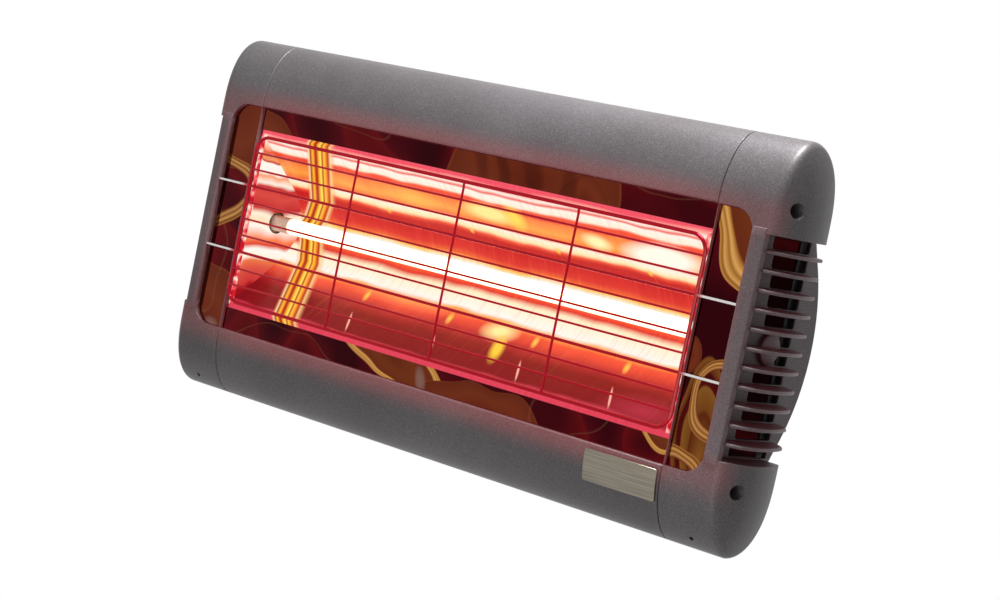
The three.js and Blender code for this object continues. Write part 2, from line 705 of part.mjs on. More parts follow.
function lampCap() {
  return prismX(roundedBox(lampDepth - lampCapDepth / 2, lampDepth + lampCapDepth / 2,
    -lampCapHeight / 2, lampCapHeight / 2, [2, 2, 2, 2], 2), lampCapX, lampEndX);
}

function lampContact() {
  return rod([lampEndX + gap, lampDepth, 0], [lampTipX, lampDepth, 0], lampContactRadius, 14);
}

function lampHolder() {
  const body = prismX(roundedBox(lampDepth - holderDepth / 2, lampDepth + holderDepth / 2,
    -holderHeight / 2, holderHeight / 2, [2.5, 2.5, 2.5, 2.5], 2), holderX, holderBackX);
  const halfDepth = lampCapDepth / 2 + holderClearance;
  const halfHeight = lampCapHeight / 2 + holderClearance;
  const pocket = block(holderX - 1, holderPocketX, lampDepth - halfDepth, lampDepth + halfDepth,
    -halfHeight, halfHeight);
  const channel = rod([holderPocketX - 1, lampDepth, 0], [holderBackX - holderWall, lampDepth, 0],
    plungerRadius() + runningGap, 14);
  return body.subtract(pocket).subtract(channel);
}

function plungerRadius() {
  return lampContactRadius + 0.4;
}

function plunger() {
  return rod([lampTipX + gap, lampDepth, 0], [lampTipX + gap + contactLength, lampDepth, 0],
    plungerRadius(), 14);
}

function fixedContact() {
  return rod([-lampTipX - gap, lampDepth, 0], [-holderBackX + holderWall + gap, lampDepth, 0],
    plungerRadius(), 14);
}

class Helix extends THREE.Curve {
  constructor(radius, from, to, turns) {
    super();
    Object.assign(this, { radius, from, to, turns });
  }

  getPoint(t, target = new THREE.Vector3()) {
    const angle = t * this.turns * 2 * Math.PI;
    return target.set(this.from + (this.to - this.from) * t,
      lampDepth + this.radius * Math.cos(angle), this.radius * Math.sin(angle));
  }
}

function contactSpring() {
  const from = lampTipX + gap + contactLength + gap + springWire;
  const to = holderBackX - holderWall - gap - springWire;
  return wireAlong(new Helix(springCoil, from, to, springTurns), springWire, springTurns * 10, 5);
}

function holderBracket() {
  const plateBackX = holderX - gap;
  const frontY = frameBackY + gap;
  const half = holderBracketHeight / 2;
  const rearY = lampDepth + holderDepth / 2 + holderBracketBehind;
  const footY = frontY + holderBracketFootSteel;
  return block(capInnerX, plateBackX, frontY, rearY, -half, half)
    .add(block(capInnerX, capInnerX + holderBracketFoot, frontY, footY, -half, half))
    .subtract(rod([capInnerX - 1, lampDepth, 0], [plateBackX + 1, lampDepth, 0], lampHole, 20));
}

// ---- Wiring ------------------------------------------------------------------------------
function terminalPosts() {
  return [-terminalFromCentre - terminalPostPitch / 2, -terminalFromCentre + terminalPostPitch / 2];
}

function terminalBlock() {
  const x = -terminalFromCentre;
  const frontY = terminalDepth - terminalHalf;
  let body = block(x - terminalLength / 2, x + terminalLength / 2, frontY, terminalDepth + terminalHalf,
    -terminalHeight / 2, terminalHeight / 2);
  for (const wellX of [x - terminalWellPitch, x, x + terminalWellPitch]) {
    body = body.subtract(rod([wellX, frontY - 1, 0], [wellX, frontY + terminalWellDepth, 0],
      terminalWell, 12));
  }
  return body;
}

function supplyWire(fromX, toX) {
  const turn = wireBend * Math.sign(toX - fromX);
  const holderY = lampDepth + holderDepth / 2 + gap;
  const points = [[fromX, terminalDepth, 0], [fromX + turn, terminalDepth, 0],
    [(fromX + toX) / 2, terminalDepth, 0], [toX - turn, terminalDepth, 0],
    [toX, terminalDepth - wireBend, 0], [toX, holderY + wireBend / 2, 0], [toX, holderY, 0]];
  const curve = new THREE.CatmullRomCurve3(points.map((p) => new THREE.Vector3(...p)), false, 'centripetal');
  return wireAlong(curve, wireRadius, 26, 6);
}

function glandBody() {
  const x = -glandX;
  const hexTop = coverDepth + glandHexHeight;
  return rod([x, coverDepth - glandThread, 0], [x, coverDepth + 1, 0], glandRadius, 20)
    .add(rod([x, coverDepth + gap, 0], [x, hexTop, 0], glandRadius + glandHexRim, 6))
    .add(rod([x, hexTop - 0.5, 0], [x, coverDepth + glandHeight, 0], glandRadius + glandDomeRim, 20,
      glandRadius - 1))
    .subtract(rod([x, coverDepth - glandThread - 1, 0], [x, coverDepth + glandHeight + 1, 0],
      glandBore, 16));
}

function glandNut() {
  const x = -glandX;
  const seatY = coverDepth - coverWall - glandNutRoom;
  return rod([x, seatY - glandNutHeight, 0], [x, seatY, 0], glandRadius + glandNutRim, 6)
    .subtract(rod([x, coverDepth - glandThread - 1, 0], [x, coverDepth + 1, 0], glandRadius + gap, 20));
}

// ---- Badge -------------------------------------------------------------------------------
// A point of the upper casing's face at a height z, moved a little outward.
function facePoint(out, z) {
  const rise = (z - bulgeCentreZ) / (bulgeRise + out);
  return [bulgeDepth - (frontBulge + out) * Math.sqrt(1 - rise ** 2), z];
}

// A bare plate bent to the lower casing, just outside its face.
function badgePlate() {
  const steps = 8;
  const near = windowHalf + badgeDrop;
  const far = near + badgeHeight;
  const face = (out) => Array.from({ length: steps + 1 },
    (_, i) => facePoint(out, near + badgeHeight * i / steps));
  const right = seamX - badgeFromSeam;
  const left = right - badgeLength;
  const strip = prismX([...face(gap), ...face(gap + badgeThickness).reverse()], left, right);
  const corners = [badgeCorner, badgeCorner, badgeCorner, badgeCorner];
  const outline = roundedBox(left, right, near, far, corners, 3);
  return flipZ(strip.intersect(prismY(outline, casingFrontY - frontBulge, bulgeDepth)));
}

// ---- Tilting wall bracket ----------------------------------------------------------------
function strapScrewPlaces() {
  return [-strapScrewSpacing / 2, strapScrewSpacing / 2];
}

function strapEarX() {
  return bracketWidth / 2 - bracketSteel - gap;
}

function tiltStrap() {
  const outer = strapEarX();
  const base = coverDepth + gap;
  const ear = prismX([[base, -strapHeight / 2], [pivotDepth, -armEndRadius],
    ...Array.from({ length: 9 }, (_, i) => {
      const angle = -Math.PI / 2 + (i + 0.5) / 9 * Math.PI;
      return [pivotDepth + armEndRadius * Math.cos(angle), armEndRadius * Math.sin(angle)];
    }), [pivotDepth, armEndRadius], [base, strapHeight / 2]], outer - bracketSteel, outer);
  const plate = block(-outer, outer, base, base + bracketSteel, -strapHeight / 2, strapHeight / 2);
  let strap = plate.add(bothEnds(ear));
  strap = strap.subtract(rod([-outer - 1, pivotDepth, 0], [outer + 1, pivotDepth, 0],
    pivotBoltRadius + runningGap, 16));
  for (const x of strapScrewPlaces()) {
    strap = strap.subtract(rod([x, base - 1, 0], [x, base + bracketSteel + 1, 0],
      strapScrewRadius + runningGap, 12));
  }
  return strap;
}

function wallBracket() {
  const half = bracketWidth / 2;
  const tall = bracketHeight / 2;
  const plate = block(-half, half, -bracketSteel, 0, -tall, tall);
  const arm = prismX([[0, -tall], [0, tall], [-armRoot, tall], [-pivotToWall, armEndRadius],
    ...Array.from({ length: 9 }, (_, i) => {
      const angle = Math.PI / 2 + (i + 0.5) / 9 * Math.PI;
      return [-pivotToWall + armEndRadius * Math.cos(angle), armEndRadius * Math.sin(angle)];
    }), [-pivotToWall, -armEndRadius], [-armRoot, -tall]].reverse(), half - bracketSteel, half);
  let bracket = plate.add(bothEnds(arm));
  bracket = bracket.subtract(rod([-half - 1, -pivotToWall, 0], [half + 1, -pivotToWall, 0],
    pivotBoltRadius + runningGap, 16));
  for (const side of [-1, 1]) {
    const reach = wallSlotLength / 2 - wallSlotRadius;
    const x = side * wallSlotSpacing / 2;
    bracket = bracket.subtract(block(x - reach, x + reach, -bracketSteel - 1, 1,
      -wallSlotRadius, wallSlotRadius));
    for (const end of [x - reach, x + reach]) {
      bracket = bracket.subtract(rod([end, -bracketSteel - 1, 0], [end, 1, 0], wallSlotRadius, 16));
    }
  }
  return bracket;
}

function pivotBolt() {
  const outside = bracketWidth / 2 + gap;
  const inside = strapEarX() - bracketSteel;
  return rod([outside, 0, 0], [outside + pivotHeadHeight, 0, 0], pivotHeadRadius, 6)
    .add(rod([inside - pivotBoltPastEar, 0, 0], [outside + 1, 0, 0], pivotBoltRadius, 16));
}

function pivotNut() {
  const face = strapEarX() - bracketSteel - gap;
  return rod([face - pivotNutHeight, 0, 0], [face, 0, 0], pivotNutRadius, 6)
    .subtract(rod([face - pivotNutHeight - 1, 0, 0], [face + 1, 0, 0], pivotBoltRadius + gap, 16));
}

// ---- Assembly ----------------------------------------------------------------------------
const product = new THREE.Group();
const heater = new THREE.Group();
heater.position.set(0, -pivotDepth - pivotToWall, 0);
product.add(heater);

function place(group, name, manifold, material, position = [0, 0, 0]) {
  const mesh = new THREE.Mesh(geometryOf(manifold), material);
  mesh.name = name;
  mesh.position.set(...position);
  group.add(mesh);
}

function placePair(group, name, manifold, material, position = [0, 0, 0]) {
  const [x, y, z] = position;
  place(group, `${name}_right`, manifold, material, position);
  place(group, `${name}_left`, flipX(manifold), material, [-x, y, z]);
}

place(product, 'wall_bracket', wallBracket(), blackSteel);
placePair(product, 'pivot_bolt', pivotBolt(), zincSteel, [0, -pivotToWall, 0]);
placePair(product, 'pivot_nut', pivotNut(), zincSteel, [0, -pivotToWall, 0]);

place(heater, 'top_casing', topCasing(), castPaint);
place(heater, 'bottom_casing', flipZ(topCasing()), castPaint);
placePair(heater, 'end_cap', rightEndCap(), castPaint);
for (const [level, z] of [['top', capScrewZ], ['bottom', -capScrewZ]]) {
  placePair(heater, `end_cap_screw_${level}`, capScrew(), zincSteel, [0, capScrewDepth, z]);
}
place(heater, 'rear_cover', rearCover(), castPaint);
coverScrewPlaces().forEach((x, i) => {
  const y = coverFrontY + coverWall + gap;
  const screw = panScrew(coverScrewLength, coverScrewRadius, coverScrewHead);
  place(heater, `cover_screw_top_${i + 1}`, screw, zincSteel, [x, y, coverScrewZ()]);
  place(heater, `cover_screw_bottom_${i + 1}`, screw, zincSteel, [x, y, -coverScrewZ()]);
});
place(heater, 'tilt_strap', tiltStrap(), blackSteel);
strapScrewPlaces().forEach((x, i) => {
  const screw = panScrew(strapScrewLength, strapScrewRadius, strapScrewHead);
  place(heater, `strap_screw_${i + 1}`, screw, zincSteel, [x, coverDepth + gap + bracketSteel + gap, 0]);
});

place(heater, 'mirror_top', topMirror(), mirrorSteel);
place(heater, 'mirror_bottom', flipZ(topMirror()), mirrorSteel);
placePair(heater, 'mirror', sideMirror(), mirrorSteel);
place(heater, 'reflector', reflector(), polished);
placePair(heater, 'end_reflector', endSheet(), polished);
place(heater, 'guard', guard(), brightWire);
place(heater, 'badge_plate', badgePlate(), badgeMetal);

placePair(heater, 'lamp_holder', lampHolder(), ceramic);
placePair(heater, 'holder_bracket', holderBracket(), zincSteel);
place(heater, 'fixed_contact', fixedContact(), brass);
place(heater, 'sprung_contact', plunger(), brass);
place(heater, 'contact_spring', contactSpring(), zincSteel);
place(heater, 'quartz_tube', quartzTube(), quartz);
place(heater, 'filament', filament(), glowing);
placePair(heater, 'lamp_cap', lampCap(), ceramic);
placePair(heater, 'lamp_contact', lampContact(), zincSteel);

place(heater, 'terminal_block', terminalBlock(), moulded);
const wireX = holderX + holderLength * 0.6;
const terminalEnd = terminalLength / 2 + gap;
const liveWire = supplyWire(-terminalFromCentre + terminalEnd, wireX);
const neutralWire = supplyWire(-terminalFromCentre - terminalEnd, -wireX);
place(heater, 'live_wire', liveWire, siliconeRubber);
place(heater, 'neutral_wire', neutralWire, siliconeRubber);
place(heater, 'cable_gland', glandBody(), moulded);
place(heater, 'gland_nut', glandNut(), moulded);

export default product;
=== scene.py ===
"""A wall-hung infrared quartz heater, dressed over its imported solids.

MM turns millimetres into Blender's metres. The lamp faces -Y, X runs along the body, the wall is at
y = 0 and +Z is up. Depths are measured back from the front window between the two casings.
"""
import math

import bmesh
import bpy
from mathutils import Matrix, Vector


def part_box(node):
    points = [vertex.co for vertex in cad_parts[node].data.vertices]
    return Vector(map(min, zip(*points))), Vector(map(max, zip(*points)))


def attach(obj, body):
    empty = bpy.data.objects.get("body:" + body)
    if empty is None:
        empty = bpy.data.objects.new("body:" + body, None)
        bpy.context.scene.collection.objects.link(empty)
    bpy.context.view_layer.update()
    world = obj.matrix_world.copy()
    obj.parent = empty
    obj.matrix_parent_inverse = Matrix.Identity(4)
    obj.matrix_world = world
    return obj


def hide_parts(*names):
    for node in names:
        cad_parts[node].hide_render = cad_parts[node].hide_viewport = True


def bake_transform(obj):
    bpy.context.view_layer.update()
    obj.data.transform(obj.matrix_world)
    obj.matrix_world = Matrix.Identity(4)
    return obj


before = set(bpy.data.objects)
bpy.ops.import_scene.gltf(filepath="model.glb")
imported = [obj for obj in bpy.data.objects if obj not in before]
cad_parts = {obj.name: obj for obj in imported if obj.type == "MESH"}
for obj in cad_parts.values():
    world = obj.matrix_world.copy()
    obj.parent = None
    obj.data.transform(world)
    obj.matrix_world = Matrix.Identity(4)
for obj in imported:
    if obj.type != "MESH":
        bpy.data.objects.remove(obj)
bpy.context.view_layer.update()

# ---- Places read from the solids -----------------------------------------------------------
MM = 0.001
LOW, HIGH = 0, 1


def edge(node, side, axis):
    """One side of a CAD node's box."""
    return getattr(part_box(node)[side], axis)


def centre(node, axis):
    """The middle of a CAD node's box along an axis."""
    return (edge(node, LOW, axis) + edge(node, HIGH, axis)) / 2


casing_x = edge("top_casing", HIGH, "x")
casing_front = edge("top_casing", LOW, "y")
casing_rear = edge("top_casing", HIGH, "y")
casing_top = edge("top_casing", HIGH, "z")
window_half = edge("top_casing", LOW, "z")
cap_inner = edge("end_cap_right", LOW, "x")
crown_x = edge("end_cap_right", HIGH, "x")
bar_front = edge("end_cap_right", LOW, "y")
window_y = casing_front + 1.5 * MM

# ---- Sizes of the body ---------------------------------------------------------------------
FRONT_BULGE = 24 * MM
REAR_BULGE = 30 * MM
bulge_y = casing_front + FRONT_BULGE
bulge_z = window_half + 2 * MM
bulge_rise = casing_top - bulge_z
CASING_WALL = 2.2 * MM
LIP = 9 * MM
LIP_THICKNESS = 1.6 * MM
CROWN_DEPTH = 20 * MM
CROWN_FRONT_DROP = 8 * MM
CROWN_REAR_DROP = 7.5 * MM
CAST_EDGE = 3 * MM            # rounding between an end cap's face and its crown

FINS = 11
FIN_PITCH = 10.3 * MM
FIN_THICKNESS = 2 * MM
vent_x = crown_x - 19.5 * MM
VENT_WALL = 3 * MM
lobe_low = (FINS + 1) / 2 * FIN_PITCH - 1.4 * MM
DOME_DROP = 6.5 * MM          # how far a lobe's face leans in from its low edge to its top
BAR_WIDTH = 8.9 * MM
bar_outer = crown_x - 10.7 * MM
bar_inner = bar_outer - BAR_WIDTH
BAR_PAST = 3.1 * MM           # ends of the bar over the lobes
BAR_SLOPE = 5.5 * MM          # height of its sloping ends
BAR_END_DROP = 1.2 * MM       # how far they fall back
POCKET_DEPTH = 2.1 * MM
FRAME_BACK = 4.5 * MM
MIRROR_CORNER = 13 * MM
MIRROR_GAP = 0.3 * MM         # between a side mirror and its frame
SLOT_HEIGHT = 7.1 * MM
SLOT_FRONT = 20 * MM          # depth at which the outermost vent slots begin
SLOT_BULGE = 8 * MM           # how much later the middle ones begin
SHORT_SLOT = 45 * MM          # where the two beside the boss begin
SLOT_REAR = 56 * MM
VENT_ARC = 104 * MM           # radius of the vent wall's rear edge
VENT_DEPTH = 79 * MM
BOSS_DEPTH = 35 * MM
HOLE_DEPTH = 9.2 * MM
hole_z = window_half + 4.1 * MM
HOLE_RADIUS = 4 * MM
HOLE_MOUTH = HOLE_RADIUS + 0.7 * MM
DRAIN_IN = 20.8 * MM          # from the cap's inner end
DRAIN_ANGLE = 0.69 * math.pi  # around the bulge
DRAIN_RADIUS = 1.4 * MM

MOUTH_DEPTH = 2.1 * MM
MOUTH_HALF = 55 * MM
WAIST = (42 * MM, 20 * MM)         # folds of the trough as (depth, height)
BACK_FOLD = (49.5 * MM, 8 * MM)
BACK_DEPTH = 51 * MM
SHEET = 0.8 * MM
LIP_HEIGHT = 69.7 * MM
lamp_y = window_y + 30 * MM


def at(depth):
    """Y of a depth in metres behind the front window."""
    return window_y + depth


def crown(y):
    """X of an end cap's crowned outer face at a place y."""
    middle = at(CROWN_DEPTH)
    ahead = y < middle
    reach = middle - casing_front if ahead else casing_rear - middle
    drop = CROWN_FRONT_DROP if ahead else CROWN_REAR_DROP
    return crown_x - drop * ((y - middle) / reach) ** 2


def shares(steps):
    """Even steps from 0 to 1."""
    return [i / steps for i in range(steps + 1)]


def quarter(radius, steps):
    """Insets along a rounded edge, from none to its whole radius."""
    return [radius * (1 - math.cos(share * math.pi / 2)) for share in shares(steps)]


def bulge(inset, low, steps=44, lead=6):
    """(y, z) points of the bulged section, from low at the front over the top to low at the rear."""
    front, rear = casing_front + inset, casing_rear - inset
    rise = [low + (bulge_z - low) * i / lead for i in range(lead)]
    arc = []
    for share in shares(steps):
        angle = math.pi * (1 - share)
        radius = FRONT_BULGE if angle > math.pi / 2 else REAR_BULGE
        arc.append((bulge_y + (radius - inset) * math.cos(angle),
                    bulge_z + (bulge_rise - inset) * math.sin(angle)))
    return [(front, z) for z in rise] + arc + [(rear, z) for z in reversed(rise)]


# ---- Meshes --------------------------------------------------------------------------------
X_AXIS, Y_AXIS, Z_AXIS = Vector((1, 0, 0)), Vector((0, 1, 0)), Vector((0, 0, 1))


def stand(across, up, origin=(0, 0, 0)):
    """A matrix that lays a flat drawing's two axes along across and up."""
    turn = Matrix((across, up, across.cross(up))).transposed().to_4x4()
    return Matrix.Translation(origin) @ turn


def front_view(y):
    """A place for a drawing of (x, z) points at a place y."""
    return stand(X_AXIS, Z_AXIS, (0, y, 0))


def side_view(x, y=0, z=0):
    """A place for a drawing of (y, z) points, or for a body turned about a line along X."""
    return stand(Y_AXIS, Z_AXIS, (x, y, z))


def linked(name, data):
    """A new object in the scene."""
    made = bpy.data.objects.new(name, data)
    bpy.context.collection.objects.link(made)
    return made


def evaluated(holder):
    """A holder's final mesh; the holder goes."""
    mesh = bpy.data.meshes.new_from_object(holder.evaluated_get(bpy.context.evaluated_depsgraph_get()))
    bpy.data.objects.remove(holder)
    return mesh


def smoothed(mesh, sharp=35):
    """The mesh, smooth except at edges sharper than the angle in degrees."""
    mesh.shade_smooth()
    mesh.set_sharp_from_angle(angle=math.radians(sharp))
    return mesh


def mesh_of(bm):
    """A smoothed mesh from a bmesh."""
    bmesh.ops.recalc_face_normals(bm, faces=bm.faces)
    mesh = bpy.data.meshes.new("shape")
    bm.to_mesh(mesh)
    bm.free()
    return smoothed(mesh)


def cut(mesh, *cutters):
    """The mesh with each cutter taken away."""
    for cutter in cutters:
        tool = linked("cutter", cutter)
        holder = linked("holder", mesh)
        modifier = holder.modifiers.new("cut", "BOOLEAN")
        modifier.operation = "DIFFERENCE"
        modifier.solver = "EXACT"
        modifier.object = tool
        mesh = evaluated(holder)
        bpy.data.objects.remove(tool)
    return smoothed(mesh)


def loft(rows, ends=True):
    """A body through rows of points, each row a closed loop."""
    bm = bmesh.new()
    rings = [[bm.verts.new(point) for point in row] for row in rows]
    for a, b in zip(rings, rings[1:]):
        for i in range(len(a)):
            j = (i + 1) % len(a)
            bm.faces.new((a[i], a[j], b[j], b[i]))
    if ends:
        bm.faces.new(rings[0])
        bm.faces.new(rings[-1])
    return mesh_of(bm)


def quads(rows):
    """Faces between neighbouring rows of points."""
    return [(a[i], a[i + 1], b[i + 1], b[i]) for a, b in zip(rows, rows[1:]) for i in range(len(a) - 1)]


def woven(faces):
    """A mesh from faces given as loops of points; points that meet are shared."""
    meeting = 0.001 * MM
    bm = bmesh.new()
    known = {}
    for face in faces:
        corners = []
        for point in face:
            key = tuple(round(c / meeting) for c in point)
            if key not in known:
                known[key] = bm.verts.new(point)
            if known[key] not in corners:
                corners.append(known[key])
        if len(corners) > 2:
            bm.faces.new(corners)
    return mesh_of(bm)


def drawn(kind, paths, closed, **settings):
    """The mesh of a curve through each path's points."""
    curve = bpy.data.curves.new("outline", "CURVE")
    curve.dimensions = kind
    for name, value in settings.items():
        setattr(curve, name, value)
    for path in paths:
        spline = curve.splines.new("POLY")
        spline.points.add(len(path) - 1)
        for point, (a, b, *c) in zip(spline.points, path):
            point.co = (a, b, *(c or [0]), 1)
        spline.use_cyclic_u = closed
    return evaluated(linked("outline", curve))


def plate(outline, thickness, place, holes=(), bevel=0.5 * MM, steps=2):
    """A flat plate with rounded edges from a drawn outline and its holes."""
    mesh = drawn("2D", [outline, *holes], True, fill_mode="BOTH", extrude=thickness / 2 - bevel,
                 bevel_depth=bevel, bevel_resolution=steps, offset=-bevel)
    mesh.transform(place)
    return smoothed(mesh, 40)


def wire(paths, radius, sides=4, closed=False):
    """Round wire along each path."""
    return smoothed(drawn("3D", paths, closed, bevel_depth=radius, bevel_resolution=sides,
                          use_fill_caps=not closed), 50)


def circle(radius, sides, a=0, b=0):
    """Points on a circle about (a, b)."""
    return [(a + radius * math.cos(2 * math.pi * i / sides), b + radius * math.sin(2 * math.pi * i / sides))
            for i in range(sides)]


def turned(profile, place, sides=40, ends=True):
    """A body of revolution: (distance along, radius) points about the drawing's own Z axis."""
    mesh = loft([[(a, b, along) for a, b in circle(radius, sides)] for along, radius in profile], ends)
    mesh.transform(place)
    return mesh


def rounded(a0, a1, b0, b1, radius, steps=8):
    """A rectangle with one radius, or one for each corner, counter-clockwise from the lower left."""
    corners = [(a0, b0, 1, 1), (a1, b0, -1, 1), (a1, b1, -1, -1), (a0, b1, 1, -1)]
    radii = radius if isinstance(radius, list) else [radius] * 4
    points = []
    for index, ((a, b, sa, sb), r) in enumerate(zip(corners, radii)):
        for share in shares(steps) if r else [0]:
            angle = math.pi + (index + share) * math.pi / 2
            points.append((a + sa * r + r * math.cos(angle), b + sb * r + r * math.sin(angle)))
    return points


def turn_round(mesh, x=1, z=1):
    """A mirrored copy: x = -1 for the other end, z = -1 for the other height."""
    copy = mesh.copy()
    copy.transform(Matrix.Diagonal((x, 1, z, 1)))
    if x * z < 0:
        copy.flip_normals()
    return copy


def piece(name, meshes, material, slot, *nodes, body="heater"):
    """One visible piece in place of CAD nodes, with a finish, riding on a body if one is named."""
    bm = bmesh.new()
    for mesh in meshes:
        bm.from_mesh(mesh)
    joined = bpy.data.meshes.new(name)
    bm.to_mesh(joined)
    bm.free()
    joined.materials.append(material)
    made = linked(name, joined)
    if body:
        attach(made, body)
    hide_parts(*nodes)
    return made


def twins(material, slot, *kinds, body="heater"):
    """Pieces on the right and their mirror images on the left, each kind as (name, meshes, CAD name)."""
    for end, sign in (("right", 1), ("left", -1)):
        for name, meshes, node in kinds:
            piece(f"{name}_{end}", [turn_round(mesh, x=sign) for mesh in meshes], material, slot,
                  f"{node}_{end}", body=body)


# ---- Materials -----------------------------------------------------------------------------
def colour(code):
    """Linear colour from an sRGB hex value."""
    channels = [int(code[i:i + 2], 16) / 255 for i in (1, 3, 5)]
    linear = [c / 12.92 if c <= 0.04045 else ((c + 0.055) / 1.055) ** 2.4 for c in channels]
    return (*linear, 1)


def add(owner, kind, values=None, links=None, **settings):
    """Adds one shader node to its owner's tree: values for its sockets, links into them, and its settings."""
    tree = owner.node_tree
    made = tree.nodes.new("ShaderNode" + kind)
    for name, value in settings.items():
        setattr(made, name, value)
    for name, value in (values or {}).items():
        made.inputs[name].default_value = value
    for name, source in (links or {}).items():
        tree.links.new(source, made.inputs[name])
    return made


def stops(ramp, places):
    """Fills a colour ramp with (position, hex) stops and returns its colour."""
    elements = ramp.color_ramp.elements
    while len(elements) < len(places):
        elements.new(0.5)
    for element, (position, code) in zip(elements, places):
        element.position = position
        element.color = colour(code)
    return ramp.outputs["Color"]


def surface(name, values):
    """A material with a Principled surface whose constants sit on its own sockets."""
    material = bpy.data.materials.new(name)
    material.use_nodes = True
    material.node_tree.nodes.clear()
    shader = add(material, "BsdfPrincipled", values)
    add(material, "OutputMaterial", links={"Surface": shader.outputs["BSDF"]})
    return material, shader


def feed(material, shader, links):
    """Links sockets of the Principled surface."""
    for name, source in links.items():
        material.node_tree.links.new(source, shader.inputs[name])


def facing(material, axis):
    """How squarely a face looks along one of the heater's own axes, 0 to 1."""
    apart = add(material, "SeparateXYZ", links={"Vector": add(material, "TexCoord").outputs["Normal"]})
    return add(material, "Math", links={0: apart.outputs[axis]}, operation="ABSOLUTE").outputs["Value"]


def near_opening(material, place):
    """1 on faces beside the opening and at its depth, falling to 0 away from it and behind it."""
    apart = add(material, "SeparateXYZ", links={"Vector": place})
    height = add(material, "Math", links={0: apart.outputs["Z"]}, operation="ABSOLUTE")
    beside = add(material, "MapRange", {"From Min": 70 * MM, "From Max": 88 * MM, "To Min": 1.0,
                                        "To Max": 0.0}, {"Value": height.outputs["Value"]},
                 interpolation_type="SMOOTHSTEP")
    depth = add(material, "MapRange", {"From Min": at(-4 * MM), "From Max": at(9 * MM), "To Min": 1.0,
                                       "To Max": 0.0}, {"Value": apart.outputs["Y"]})
    along = add(material, "Math", links={0: apart.outputs["X"]}, operation="ABSOLUTE")
    middle = add(material, "MapRange", {"From Min": 150 * MM, "From Max": 200 * MM, "To Min": 1.0,
                                        "To Max": 0.5}, {"Value": along.outputs["Value"]})
    near = add(material, "Math", links={0: beside.outputs["Result"], 1: depth.outputs["Result"]},
               operation="MULTIPLY")
    return add(material, "Math", links={0: near.outputs["Value"], 1: middle.outputs["Result"]},
               operation="MULTIPLY").outputs["Value"]


def spot(material, place, x, z, half_x, half_z, tilt):
    """1 at a place (x, z) in mm of the front view, falling to 0 at the rim of an ellipse about it."""
    frame_of = add(material, "Mapping", {
        "Location": (x * MM, 0, z * MM), "Rotation": (0, math.radians(tilt), 0),
        "Scale": (half_x * MM, 1, half_z * MM)}, {"Vector": place}, vector_type="TEXTURE")
    flat = add(material, "VectorMath", {1: (1, 0, 1)}, {0: frame_of.outputs["Vector"]}, operation="MULTIPLY")
    return add(material, "TexGradient", links={"Vector": flat.outputs["Vector"]},
               gradient_type="SPHERICAL").outputs["Fac"]


